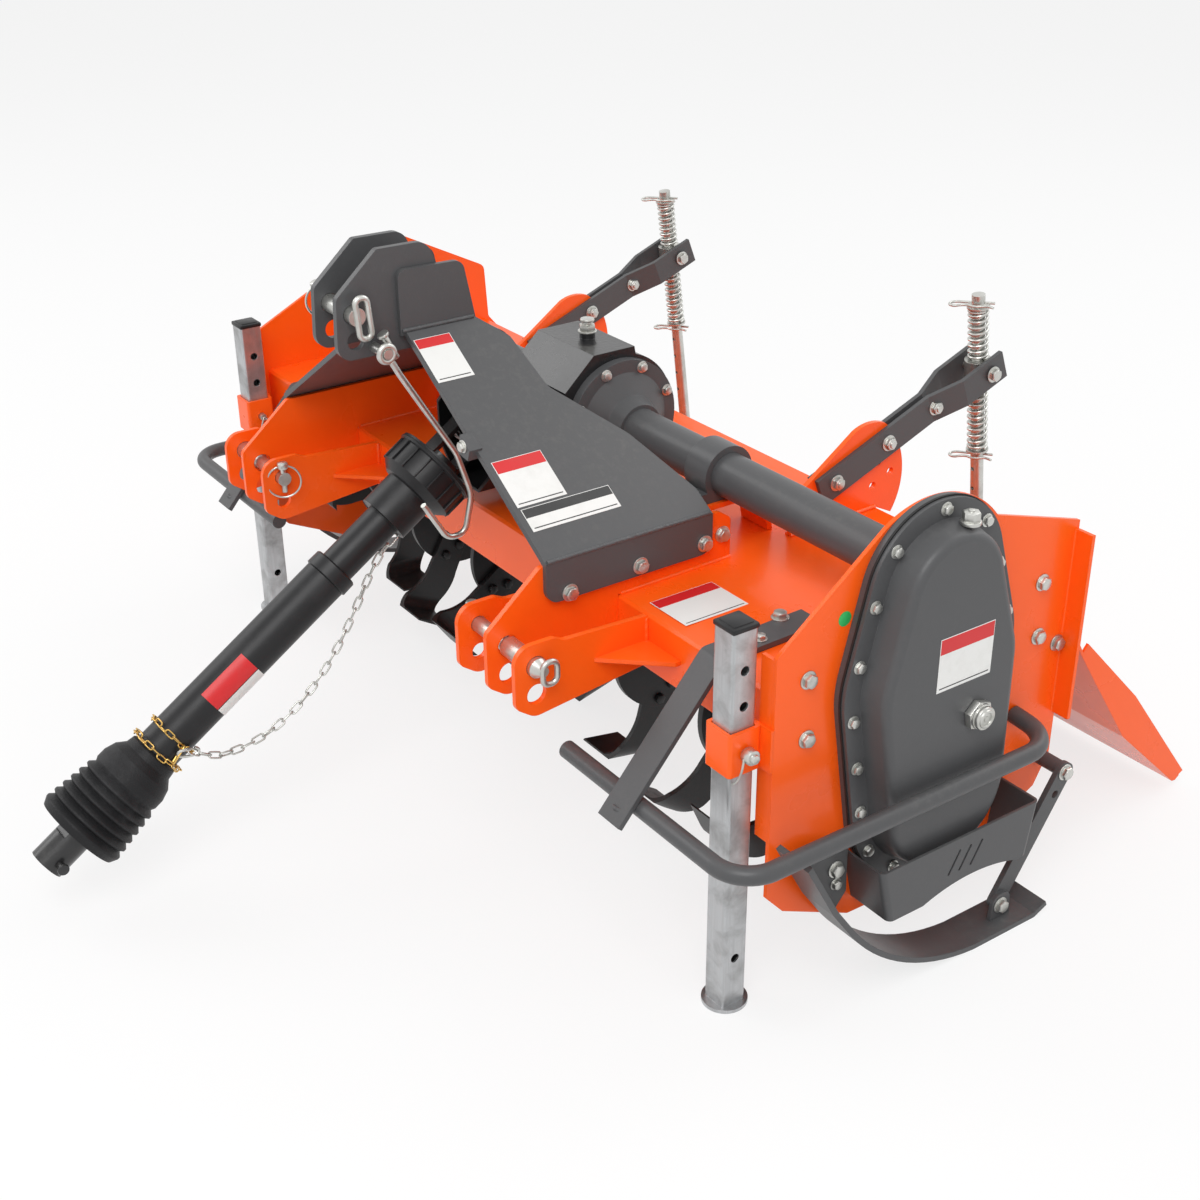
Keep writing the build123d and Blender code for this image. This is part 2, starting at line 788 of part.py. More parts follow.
# ---------------------------------------------------------------- skids
SKID_X = 778.0
LINK_X = 775.0
with BuildPart() as skids:
    for side in (1, -1):
        with BuildSketch(Plane.YZ.offset(side * SKID_X - 30)):
            with BuildLine():
                Polyline((374, 11), (350, 0), (230, 0))
                ThreePointArc((230, 0), (95, 42), (-5, 130))
                Polyline((-5, 130), (-40, 180), (-88, 268), (-81, 272), (-33, 184), (1.4, 134.8))
                ThreePointArc((1.4, 134.8), (99, 48.9), (230.7, 8))
                Polyline((230.7, 8), (348, 8), (371, 18.5), (374, 11))
            make_face()
        extrude(amount=60)
        with BuildSketch(Plane.YZ.offset(side * (PLATE_X + 18) - 3)):
            Polygon(
                (-64, 232),
                (-20, 238),
                (32, 224),
                (34, 152),
                (8, 120),
                (-2, 132),
                (-37, 182),
                align=None,
            )
        extrude(amount=6)
        with Locations(Location((side * (PLATE_X + 7.5), 12, 196), (0, 90, 0))):
            Cylinder(9, 15)
skids.part.label = "skids"
export_step(skids.part, "parts/skids.step")

with BuildPart() as skid_links:
    for side in (1, -1):
        with BuildSketch(Plane.YZ.offset(side * (LINK_X + 7) - 3)):
            with BuildLine():
                FilletPolyline(
                    (284, 8),
                    (322, 8),
                    (320, 48),
                    (288, 48),
                    radius=[0, 0, 14, 14],
                    close=True,
                )
            make_face()
        extrude(amount=6)
        with BuildSketch(Plane.YZ.offset(side * LINK_X - 4)):
            with BuildLine():
                FilletPolyline(
                    (284, 28),
                    (309.5, 12),
                    (432, 209),
                    (406.5, 225),
                    radius=13,
                    close=True,
                )
            make_face()
            with Locations((396, 174)):
                Circle(6, mode=Mode.SUBTRACT)
        extrude(amount=8)
        with Locations(Location((side * (PLATE_X + 20.5), 410, 208), (0, 90, 0))):
            Cylinder(11, 41)
skid_links.part.label = "skid_links"
export_step(skid_links.part, "parts/skid_links.step")

# ---------------------------------------------------------------- tailboard lift
QUAD_X = ROD_X - 2.0
with BuildPart() as quadrants:
    for side in (1, -1):
        with BuildSketch(Plane.YZ.offset(side * QUAD_X - 4)):
            with BuildLine():
                Polyline((433, 450), (401, 466), (236, 464), (236, 516), (352, 596))
                ThreePointArc((352, 596), (380, 603), (408, 598))
                ThreePointArc((408, 598), (449, 530), (433, 450))
            make_face()
            with Locations((401, 539), (426, 517), (392, 502)):
                Circle(6, mode=Mode.SUBTRACT)
        extrude(amount=8)
quadrants.part.label = "quadrants"
export_step(quadrants.part, "parts/quadrants.step")

ARM_SLOPE = degrees(atan2(SWIVEL_Z - ARM_Z, SWIVEL_Y - ARM_Y))
ARM_RUN = hypot(SWIVEL_Z - ARM_Z, SWIVEL_Y - ARM_Y)
with BuildPart() as lift_arms:
    for side in (1, -1):
        along = Plane(
            origin=(side * QUAD_X, ARM_Y, ARM_Z),
            x_dir=(0, cos(radians(ARM_SLOPE)), sin(radians(ARM_SLOPE))),
            z_dir=(0, -sin(radians(ARM_SLOPE)), cos(radians(ARM_SLOPE))),
        )
        for turn in (1, -1):
            with BuildSketch(along.offset(-22)):
                Polygon(
                    (-30, turn * 4.3),
                    (196, turn * 4.3),
                    (250, turn * 23),
                    (ARM_RUN + 28, turn * 23),
                    (ARM_RUN + 28, turn * 30),
                    (248, turn * 30),
                    (194, turn * 11.3),
                    (-30, turn * 11.3),
                    align=None,
                )
            extrude(amount=44)
    with Locations(Location((0, SWIVEL_Y, SWIVEL_Z), (0, 90, 0))):
        Cylinder(6.1, 900, mode=Mode.SUBTRACT)
lift_arms.part.label = "lift_arms"
export_step(lift_arms.part, "parts/lift_arms.step")

ROD_LEAN = degrees(atan2(EYE_Y - SWIVEL_Y, SWIVEL_Z - EYE_Z))
ROD_DROP = hypot(EYE_Y - SWIVEL_Y, SWIVEL_Z - EYE_Z)
ROD_TOP = 118.0
SPRING_R = 16.0
SPRING_BORE = 11.5
COILS_TOP = 9
COILS_LOW = 12


def coil_profile(low, high, coils):
    """Zigzag outline of a spring's coils between two heights, radius first."""
    pitch = (high - low) / coils
    outer = []
    for k in range(coils):
        outer.append((SPRING_R - 2.6, low + k * pitch))
        outer.append((SPRING_R, low + (k + 0.5) * pitch))
    return [(SPRING_BORE, low)] + outer + [(SPRING_R - 2.6, high), (SPRING_BORE, high)]


for side, hand in ((1, "right"), (-1, "left")):
    rod_plane = Plane(
        origin=(side * ROD_X, SWIVEL_Y, SWIVEL_Z),
        x_dir=(1, 0, 0),
        z_dir=(0, -sin(radians(ROD_LEAN)), cos(radians(ROD_LEAN))),
    )
    rod_side = Plane(origin=rod_plane.origin, x_dir=(1, 0, 0), z_dir=rod_plane.y_dir * -1)
    rod_axis = Axis(rod_plane.origin, rod_plane.z_dir)

    with BuildPart() as swivel:
        with BuildSketch(rod_plane.offset(-16)):
            Circle(20)
        extrude(amount=32)
        with Locations(Location((side * QUAD_X, SWIVEL_Y, SWIVEL_Z), (0, 90, 0))):
            Cylinder(6, 66)
        with BuildSketch(rod_plane.offset(-20)):
            Circle(ROD_R + 0.5)
        extrude(amount=40, mode=Mode.SUBTRACT)
    swivel.part.label = f"swivel_{hand}"
    export_step(swivel.part, f"parts/swivel_{hand}.step")

    with BuildPart() as rod:
        with BuildSketch(rod_plane.offset(10 - ROD_DROP)):
            Circle(ROD_R)
        extrude(amount=ROD_DROP - 10 + ROD_TOP)
        for height in (97.5, -135.5):
            with BuildSketch(rod_plane.offset(height)):
                Circle(17)
            extrude(amount=3)
        for k in range(4):
            with Locations(rod_plane.location * Location((0, 0, -165 - 34 * k))):
                with Locations(Location((0, 0, 0), (90, 0, 0))):
                    Cylinder(3, 30, mode=Mode.SUBTRACT)
        with Locations(Location((side * ROD_X, EYE_Y, EYE_Z), (0, 90, 0))):
            Cylinder(14, 16)
            Cylinder(7, 16, mode=Mode.SUBTRACT)
    rod.part.label = f"rod_{hand}"
    export_step(rod.part, f"parts/rod_{hand}.step")

    for name, low, high, coils in (("top", 17, 97, COILS_TOP), ("low", -132, -17, COILS_LOW)):
        with BuildPart() as spring:
            with BuildSketch(rod_side):
                Polygon(*coil_profile(low, high, coils), align=None)
            revolve(axis=rod_axis)
        spring.part.label = f"spring_{name}_{hand}"
        export_step(spring.part, f"parts/spring_{name}_{hand}.step")

# ---------------------------------------------------------------- tailboard
BOARD_X = 712.0
with BuildPart() as tailboard:
    with BuildSketch(Plane.YZ.offset(-BOARD_X)):
        Polygon(
            (470, 380),
            (500, 330),
            (624, 150),
            (768, 15),
            (776, 14),
            (784, 20),
            (782, 24),
            (775, 18),
            (770, 19),
            (628, 153),
            (504, 332),
            (474, 382),
            align=None,
        )
    extrude(amount=2 * BOARD_X)
    for side in (1, -1):
        with BuildSketch(Plane.YZ.offset(side * (BOARD_X - 2) - 2)):
            Polygon((500, 330), (624, 150), (768, 15), (792, 26), (640, 215), (512, 345), align=None)
        extrude(amount=4)
        for lug in (-13, 13):
            with BuildSketch(Plane.YZ.offset(side * ROD_X + lug - 3)):
                with BuildLine():
                    FilletPolyline(
                        (556, 248),
                        (604, 178),
                        (660, 236),
                        (658, 282),
                        (622, 282),
                        radius=[0, 0, 12, 16, 12],
                        close=True,
                    )
                make_face()
            extrude(amount=6)
        with Locations(Location((side * ROD_X, EYE_Y, EYE_Z), (0, 90, 0))):
            Cylinder(6, 36)
    for outer_x, length in BOARD_EYES:
        with BuildSketch(Plane.YZ.offset(outer_x - length)):
            with Locations((HINGE_Y, HINGE_Z)):
                Circle(EYE_R)
            Polygon((460, 379), (471, 391), (482, 366), (476, 362), align=None)
            with Locations((HINGE_Y, HINGE_Z)):
                Circle(EYE_BORE, mode=Mode.SUBTRACT)
        extrude(amount=length)
tailboard.part.label = "tailboard"
export_step(tailboard.part, "parts/tailboard.step")

# ---------------------------------------------------------------- rotor
FLANGE_XS = (-620.0, -420.0, -210.0, 0.0, 210.0, 420.0, 620.0)
FLANGE_R = 105.0
TINES = 4
TINE_STEP = 25.0        # each flange is turned on from the last by this, degrees
with BuildPart() as rotor:
    with Locations(Location((0, AXLE_Y, ROTOR_Z), (0, 90, 0))):
        Cylinder(36, 1380)
rotor.part.label = "rotor"
export_step(rotor.part, "parts/rotor.step")

with BuildPart() as rotor_flanges:
    for x in FLANGE_XS:
        with Locations(Location((x, AXLE_Y, ROTOR_Z), (0, 90, 0))):
            Cylinder(FLANGE_R, 10)
            Cylinder(36, 10, mode=Mode.SUBTRACT)
rotor_flanges.part.label = "rotor_flanges"
export_step(rotor_flanges.part, "parts/rotor_flanges.step")

# One C-shaped tine, pointing up from the rotor axis and bent towards +X:
# its side outline and its bent section, each cut through the other.
with BuildPart() as tine:
    with BuildSketch(Plane.YZ):
        with BuildLine():
            Polyline((-26, 52), (-26, 120))
            ThreePointArc((-26, 120), (-16, 172), (16, 204))
            Polyline((16, 204), (72, 198), (60, 176))
            ThreePointArc((60, 176), (40, 150), (32, 116))
            Polyline((32, 116), (26, 52), (-26, 52))
        make_face()
    extrude(amount=96)
    with BuildSketch(Plane.XZ.offset(-100)):
        with BuildLine():
            Polyline((5, 40), (5, 172))
            ThreePointArc((5, 172), (13, 194), (34, 203))
            Polyline((34, 203), (88, 203), (88, 195.5), (35, 195.5))
            ThreePointArc((35, 195.5), (19, 188), (13, 171))
            Polyline((13, 171), (13, 40), (5, 40))
        make_face()
    extrude(amount=200, mode=Mode.INTERSECT)
right_tine = tine.part
left_tine = right_tine.mirror(Plane.YZ)

with BuildPart() as tines:
    for row, x in enumerate(FLANGE_XS):
        for k in range(TINES):
            inward = row in (0, len(FLANGE_XS) - 1)
            to_right = row == 0 if inward else k % 2 == 0
            angle = k * 360 / TINES + row * TINE_STEP
            with Locations(Location((x, AXLE_Y, ROTOR_Z), (-angle, 0, 0))):
                add(right_tine if to_right else left_tine)
tines.part.label = "tines"
export_step(tines.part, "parts/tines.step")

with BuildPart() as rotor_bearing:
    with BuildSketch(Plane.YZ.offset(-PLATE_X)):
        with Locations((AXLE_Y, ROTOR_Z)):
            RectangleRounded(116, 116, 24)
    extrude(amount=-12)
    with Locations(Location((-PLATE_X - 24, AXLE_Y, ROTOR_Z), (0, 90, 0))):
        Cylinder(40, 24)
rotor_bearing.part.label = "rotor_bearing"
export_step(rotor_bearing.part, "parts/rotor_bearing.step")

HOOK_X = 75.0
HOOK_BOLT = (-229.0, 747.0)
with BuildPart() as hook_rod:
    with BuildLine() as hook_path:
        FilletPolyline(
            (HOOK_X, -223, 735),
            (HOOK_X, -212, 714),
            (HOOK_X, -130, 578),
            (HOOK_X, -108, 508),
            (HOOK_X, -122, 450),
            (HOOK_X, -152, 450),
            (HOOK_X, -188, 512),
            radius=[40, 80, 50, 18, 22],
        )
    with BuildSketch(Plane(hook_path.line @ 0, z_dir=hook_path.line % 0)):
        Circle(4.5)
    sweep(path=hook_path.line)
    with Locations(Location((HOOK_X, HOOK_BOLT[0], HOOK_BOLT[1]), (0, 90, 0))):
        Torus(11, 4.5)
    with Locations(Location(((HOOK_X + MAST_X + 5) / 2, HOOK_BOLT[0], HOOK_BOLT[1]), (0, 90, 0))):
        Cylinder(7, HOOK_X + 5 - MAST_X)
hook_rod.part.label = "hook_rod"
export_step(hook_rod.part, "parts/hook_rod.step")
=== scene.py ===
from math import atan2, cos, degrees, pi, radians, sin, sqrt

import bmesh
import bpy
from mathutils import Matrix, Vector


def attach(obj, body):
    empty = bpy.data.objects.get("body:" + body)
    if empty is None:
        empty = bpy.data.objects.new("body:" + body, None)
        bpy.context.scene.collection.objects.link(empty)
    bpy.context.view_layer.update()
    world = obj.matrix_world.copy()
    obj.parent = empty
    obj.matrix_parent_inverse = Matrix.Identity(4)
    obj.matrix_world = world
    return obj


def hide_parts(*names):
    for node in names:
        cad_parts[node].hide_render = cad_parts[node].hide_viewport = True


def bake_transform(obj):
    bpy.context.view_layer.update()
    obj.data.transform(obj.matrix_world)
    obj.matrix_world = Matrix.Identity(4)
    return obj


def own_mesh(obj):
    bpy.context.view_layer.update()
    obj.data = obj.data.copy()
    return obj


bl_info = {
    "name": "Rotavator",
    "version": (1, 0, 0),
    "blender": (4, 5, 0),
    "location": "View3D > Sidebar > Rotavator",
    "description": "Finishes, fasteners, springs, chains and studio for a rotary tiller",
    "category": "Add Mesh",
}

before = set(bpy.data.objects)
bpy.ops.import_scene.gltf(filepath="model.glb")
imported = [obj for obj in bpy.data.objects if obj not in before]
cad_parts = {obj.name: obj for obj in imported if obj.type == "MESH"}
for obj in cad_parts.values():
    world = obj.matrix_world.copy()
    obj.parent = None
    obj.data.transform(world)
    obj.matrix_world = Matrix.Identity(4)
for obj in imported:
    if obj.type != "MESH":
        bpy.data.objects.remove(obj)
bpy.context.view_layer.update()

# Sizes below are millimetres in the machine's own frame: X across, Y to the rear, Z up.
PLATE_X = 730.0                 # outer face of the side plates
CASE_RIM_X = PLATE_X + 19       # seat of the chain case's rim bolts
CASE_FACE_X = PLATE_X + 57      # face of the chain case's cover
AXLE_Y = 154.0
AXLE_Z = 566.0
ROTOR_Z = 236.0
FLANGE_XS = (-620.0, -420.0, -210.0, 0.0, 210.0, 420.0, 620.0)
FLANGE_TURN = 25.0              # degrees from one rotor flange to the next
ROD_X = 382.0
ARM_X = 380.0
STAND_X = 687.0
STAND_Y = -112.0
STAND_PIN_Z = 398.0
LEG_TOP = (46.0, 762.0)         # X and Z of a mast leg's upper face
LEG_FOOT = (388.0, 540.0)
SLOPE = radians(34)             # fall of the parked power shaft
JOINT = Vector((0, -73, 566))
SHAFT = Vector((0, -cos(SLOPE), -sin(SLOPE)))
UNDER = Vector((0, sin(SLOPE), -cos(SLOPE)))
SWIVEL = Vector((0, 595, 640))
ROD_EYE = Vector((0, 641, 262))
ROD_LEAN = atan2(ROD_EYE.y - SWIVEL.y, SWIVEL.z - ROD_EYE.z)
ROD_UP = Vector((0, -sin(ROD_LEAN), cos(ROD_LEAN)))
ROD_FRONT = Vector((0, -cos(ROD_LEAN), -sin(ROD_LEAN)))
SIDES = (("right", 1), ("left", -1))

# Outline of the chain case: y, z, radius of the three circles inside it
CASE_CIRCLES = ((154.0, 562.0, 113.0), (158.0, 440.0, 147.0), (174.0, 262.0, 134.0))


# ------------------------------------------------------------------ settings
class TillerSizes(bpy.types.PropertyGroup):
    """Sizes of the small hardware."""

    large_bolt: bpy.props.FloatProperty(
        name="Large bolt head", description="Radius of the frame bolts' hex heads",
        default=0.0098, min=0.004, unit="LENGTH")
    small_bolt: bpy.props.FloatProperty(
        name="Small bolt head", description="Radius of the case and tine bolts' hex heads",
        default=0.0072, min=0.003, unit="LENGTH")
    spring_wire: bpy.props.FloatProperty(
        name="Spring wire", description="Diameter of the wire of the lift springs",
        default=0.0046, min=0.002, unit="LENGTH")
    chain_link: bpy.props.FloatProperty(
        name="Chain link", description="Length of one link of the guard's chain",
        default=0.0240, min=0.010, unit="LENGTH")
    chain_wire: bpy.props.FloatProperty(
        name="Chain wire", description="Diameter of the wire of the guard's chain",
        default=0.0030, min=0.001, unit="LENGTH")
    weld_width: bpy.props.FloatProperty(
        name="Weld width", description="Radius of the weld beads",
        default=0.0032, min=0.001, unit="LENGTH")


class TillerColours(bpy.types.PropertyGroup):
    """Colours of the paints, plastics and metals."""

    orange: bpy.props.FloatVectorProperty(
        name="Orange paint", description="Gloss paint of the body plates",
        default=(1.0, 0.115, 0.006), size=3, min=0, max=1, subtype="COLOR")
    grey: bpy.props.FloatVectorProperty(
        name="Grey paint", description="Satin paint of the frame and the chain case",
        default=(0.076, 0.077, 0.080), size=3, min=0, max=1, subtype="COLOR")
    black: bpy.props.FloatVectorProperty(
        name="Black paint", description="Paint of the gearbox and the rotor",
        default=(0.012, 0.012, 0.013), size=3, min=0, max=1, subtype="COLOR")
    plastic: bpy.props.FloatVectorProperty(
        name="Black plastic", description="Guard tubes and shields",
        default=(0.014, 0.014, 0.015), size=3, min=0, max=1, subtype="COLOR")
    zinc: bpy.props.FloatVectorProperty(
        name="Zinc", description="Plated pins, bolts and springs",
        default=(0.60, 0.60, 0.57), size=3, min=0, max=1, subtype="COLOR")
    gold: bpy.props.FloatVectorProperty(
        name="Yellow plating", description="Yellow-passivated chains",
        default=(0.72, 0.47, 0.13), size=3, min=0, max=1, subtype="COLOR")
    label: bpy.props.FloatVectorProperty(
        name="Label red", description="Coloured head of the blank labels",
        default=(0.62, 0.012, 0.015), size=3, min=0, max=1, subtype="COLOR")


# ------------------------------------------------------------------ modelling helpers
def deselect_all():
    """Goes to object mode with nothing selected."""
    if bpy.context.mode != "OBJECT":
        bpy.ops.object.mode_set(mode="OBJECT")
    bpy.ops.object.select_all(action="DESELECT")


def choose(*parts):
    """Selects the parts; the last is the active one."""
    deselect_all()
    for part in parts:
        part.select_set(True)
    bpy.context.view_layer.objects.active = parts[-1]


def joined(name, parts):
    """Joins parts into one object."""
    choose(*parts)
    if len(parts) > 1:
        bpy.ops.object.join()
    piece = bpy.context.object
    piece.name = name
    piece.data.name = name
    return piece


def painted(part, finish):
    """Gives a part one material."""
    part.data.materials.clear()
    part.data.materials.append(bpy.data.materials[finish])
    return part


def finished(piece, body, finish=None, angle=35):
    """Smooth shading, finish and the body that the piece moves with."""
    if finish is not None:
        painted(piece, finish)
    choose(piece)
    bpy.ops.object.shade_smooth_by_angle(angle=radians(angle))
    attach(piece, body)
    return piece


def select_faces(test):
    """In edit mode, selects the faces whose centre and normal pass the test."""
    mesh = bmesh.from_edit_mesh(bpy.context.object.data)
    for face in mesh.faces:
        face.select_set(bool(test(face.calc_center_median(), face.normal)))
    bmesh.update_edit_mesh(bpy.context.object.data)


def start_edit(action, kind=None):
    """Goes to edit mode with all or nothing selected, and to one kind of selection if it is given."""
    bpy.ops.object.mode_set(mode="EDIT")
    bpy.ops.mesh.select_all(action=action)
    if kind:
        bpy.ops.mesh.select_mode(type=kind)


def end_edit():
    """Goes back to object mode."""
    bpy.ops.object.mode_set(mode="OBJECT")
    return bpy.context.object


def round_bar(radius, length, bevel, sides=32, at=(0.0, 0.0, 0.0)):
    """A bar along Z from at, with eased end edges; millimetres."""
    deselect_all()
    bpy.ops.mesh.primitive_cylinder_add(
        vertices=sides, radius=radius * 0.001, depth=length * 0.001,
        location=(at[0] * 0.001, at[1] * 0.001, (at[2] + length / 2) * 0.001))
    bpy.ops.object.transform_apply(location=True, rotation=False, scale=False)
    start_edit("DESELECT", "FACE")
    select_faces(lambda centre, normal: abs(normal.z) > 0.9)
    bpy.ops.mesh.bevel(offset=bevel * 0.001, segments=2, affect="EDGES")
    return end_edit()


def block(size, at, bevel, segments=2):
    """A block with eased edges, centred on at; millimetres."""
    deselect_all()
    bpy.ops.mesh.primitive_cube_add(size=1, location=Vector(at) * 0.001, scale=Vector(size) * 0.001)
    bpy.ops.object.transform_apply(location=True, rotation=False, scale=True)
    start_edit("SELECT")
    bpy.ops.mesh.bevel(offset=bevel * 0.001, segments=segments, affect="EDGES")
    return end_edit()


def curve_by(name, points, resolution, smooth=True):
    """A new curve object by the points; millimetres."""
    curve = bpy.data.curves.new(name, "CURVE")
    curve.dimensions = "3D"
    curve.resolution_u = resolution
    spline = curve.splines.new("NURBS" if smooth else "POLY")
    spline.points.add(len(points) - 1)
    for spot, point in zip(spline.points, points):
        spot.co = (*(Vector(point) * 0.001), 1)
    if smooth:
        spline.order_u = 3
        spline.use_endpoint_u = True
    part = bpy.data.objects.new(name, curve)
    bpy.context.collection.objects.link(part)
    return part


def wire(points, radius, smooth=True):
    """A round wire through or near the points, as a mesh; millimetres."""
    part = curve_by("Wire", points, 8, smooth)
    part.data.bevel_depth = radius * 0.001
    part.data.bevel_resolution = 3
    part.data.use_fill_caps = True
    choose(part)
    bpy.ops.object.convert(target="MESH")
    return bpy.context.object


def ring(radius, thickness):
    """A closed wire ring in the XY plane; millimetres."""
    deselect_all()
    bpy.ops.mesh.primitive_torus_add(
        major_segments=40, minor_segments=10, major_radius=radius * 0.001, minor_radius=thickness * 0.0005)
    return bpy.context.object


def moved(part, matrix):
    """Moves a part's mesh; the matrix is in millimetres."""
    place = matrix.copy()
    place.translation = place.translation * 0.001
    part.data.transform(place)
    return part


def standing(point, direction, roll=0.0):
    """Matrix that stands a Z-up part on a point, along a direction."""
    turn = Vector(direction).to_track_quat("Z", "Y").to_matrix().to_4x4()
    return Matrix.Translation(Vector(point)) @ turn @ Matrix.Rotation(roll, 4, "Z")


def set_out(name, template, places):
    """Copies a template, each with its own mesh, to every place and joins them."""
    copies = []
    for place in places:
        copy = template.copy()
        copy.data = template.data.copy()
        bpy.context.collection.objects.link(copy)
        copies.append(moved(copy, place))
    bpy.data.objects.remove(template)
    return joined(name, copies)


def plated(name, template, places, body="base", finish="bright zinc"):
    """Sets out plated hardware at its places, on one body."""
    return finished(set_out(name, template, places), body, finish)


def outward_pair(x, reach, y, z, roll=0.0):
    """Places of two bolt heads that face away from each other along X."""
    return [standing((x + way * reach, y, z), (way, 0, 0), roll=roll) for way in (1, -1)]


def hex_bolt(head, washer=True, stud=0.0):
    """A hex head on its washer, standing on Z = 0; head is its radius in metres."""
    head = head * 1000
    parts = []
    base = 0.0
    if washer:
        parts.append(round_bar(head * 1.25, head * 0.2, bevel=head * 0.06))
        base = head * 0.19
    parts.append(round_bar(head, head * 0.7, sides=6, bevel=head * 0.1, at=(0, 0, base)))
    crown = (0, 0, base + head * 0.68)
    parts.append(round_bar(head * 0.82, head * 0.08, sides=24, bevel=head * 0.03, at=crown))
    if stud:
        parts.append(round_bar(head * 0.55, stud, sides=20, bevel=head * 0.08, at=(0, 0, base + head * 0.6)))
    return joined("Bolt", parts)


def on_shaft(x, along, under):
    """A point by the power shaft: across, along it from its joint, and below its axis."""
    return JOINT + Vector((x, 0, 0)) + SHAFT * along + UNDER * under


def on_rod(side, height):
    """A point on a lift rod, from its swivel."""
    return Vector((side * ROD_X, SWIVEL.y, SWIVEL.z)) + ROD_UP * height


# ------------------------------------------------------------------ finishes
def add(tree, kind, **settings):
    """Adds a node and sets its properties."""
    node = tree.nodes.new(kind)
    for key, value in settings.items():
        setattr(node, key, value)
    return node


def effect_group(name, second, scale_name, scale_kind, scale):
    """A shader node group that lays a second colour over the first; returns it with its two end nodes."""
    group = bpy.data.node_groups.new(name, "ShaderNodeTree")
    for label, kind, default in (
        ("Color", "Color", (0.5, 0.5, 0.5, 1)), (f"{second} Color", "Color", (0.3, 0.3, 0.3, 1)),
        (second, "Float", 0.3), ("Roughness", "Float", 0.3), (scale_name, scale_kind, scale),
    ):
        socket = group.interface.new_socket(name=label, in_out="INPUT", socket_type=f"NodeSocket{kind}")
        socket.default_value = default
    for label, kind in (("Color", "Color"), ("Roughness", "Float"), ("Height", "Float")):
        group.interface.new_socket(name=label, in_out="OUTPUT", socket_type=f"NodeSocket{kind}")
    return group, add(group, "NodeGroupInput"), add(group, "NodeGroupOutput")


def put_out(group, result, colour, roughness, height):
    """Feeds the three outputs of a group."""
    for label, socket in (("Color", colour), ("Roughness", roughness), ("Height", height)):
        group.links.new(socket, result.inputs[label])


def blend_colours(tree, mask, first, second):
    """Mixes two colour sockets by a mask."""
    mix = add(tree, "ShaderNodeMix", data_type="RGBA")
    tree.links.new(mask, mix.inputs[0])
    tree.links.new(first, mix.inputs[6])
    tree.links.new(second, mix.inputs[7])
    return mix.outputs[2]


def spread(tree, value, low, high, to_low, to_high):
    """Maps a value from one range to another, clamped."""
    ramp = add(tree, "ShaderNodeMapRange")
    tree.links.new(value, ramp.inputs[0])
    for socket, number in zip(ramp.inputs[1:5], (low, high, to_low, to_high)):
        socket.default_value = number
    return ramp.outputs[0]


def calculate(tree, operation, first, second):
    """A math node on two sockets or numbers."""
    node = add(tree, "ShaderNodeMath", operation=operation)
    for socket, value in zip(node.inputs, (first, second)):
        if isinstance(value, (int, float)):
            socket.default_value = value
        else:
            tree.links.new(value, socket)
    return node.outputs[0]


def texture(tree, kind, vector, scale, **settings):
    """A texture node on a vector, at a scale."""
    node = add(tree, kind)
    tree.links.new(vector, node.inputs["Vector"])
    if isinstance(scale, (int, float)):
        node.inputs["Scale"].default_value = scale
    else:
        tree.links.new(scale, node.inputs["Scale"])
    for key, value in settings.items():
        node.inputs[key].default_value = value
    return node


def sprayed_paint_group():
    """Colour drift, settled dust, small scuffs and orange peel of sprayed paint."""
    group, source, result = effect_group("Sprayed paint", "Dust", "Peel Scale", "Float", 260.0)
    place = add(group, "ShaderNodeTexCoord").outputs["Object"]
    drift = texture(group, "ShaderNodeTexNoise", place, 4.0, Detail=4.0, Roughness=0.6).outputs[0]
    specks = texture(group, "ShaderNodeTexNoise", place, 90.0, Detail=5.0, Roughness=0.7).outputs[0]
    peel = texture(group, "ShaderNodeTexNoise", place, source.outputs["Peel Scale"], Detail=2.0).outputs[0]
    normal = add(group, "ShaderNodeSeparateXYZ")
    group.links.new(add(group, "ShaderNodeNewGeometry").outputs["Normal"], normal.inputs[0])
    upward = spread(group, normal.outputs[2], 0.35, 1.0, 0.25, 1.0)
    cloud = spread(group, drift, 0.38, 0.66, 0.0, 1.0)
    grit = spread(group, specks, 0.5, 0.72, 0.2, 1.0)
    dusty = calculate(group, "MULTIPLY", calculate(group, "MULTIPLY", cloud, grit), upward)
    dusty = calculate(group, "MULTIPLY", dusty, source.outputs["Dust"])
    colour = blend_colours(group, dusty, source.outputs["Color"], source.outputs["Dust Color"])
    rough = calculate(group, "ADD", source.outputs["Roughness"], calculate(group, "MULTIPLY", dusty, 0.7))
    rough = calculate(group, "ADD", rough, spread(group, drift, 0.3, 0.7, -0.03, 0.04))
    height = calculate(group, "ADD", peel, calculate(group, "MULTIPLY", specks, 0.15))
    put_out(group, result, colour, rough, height)


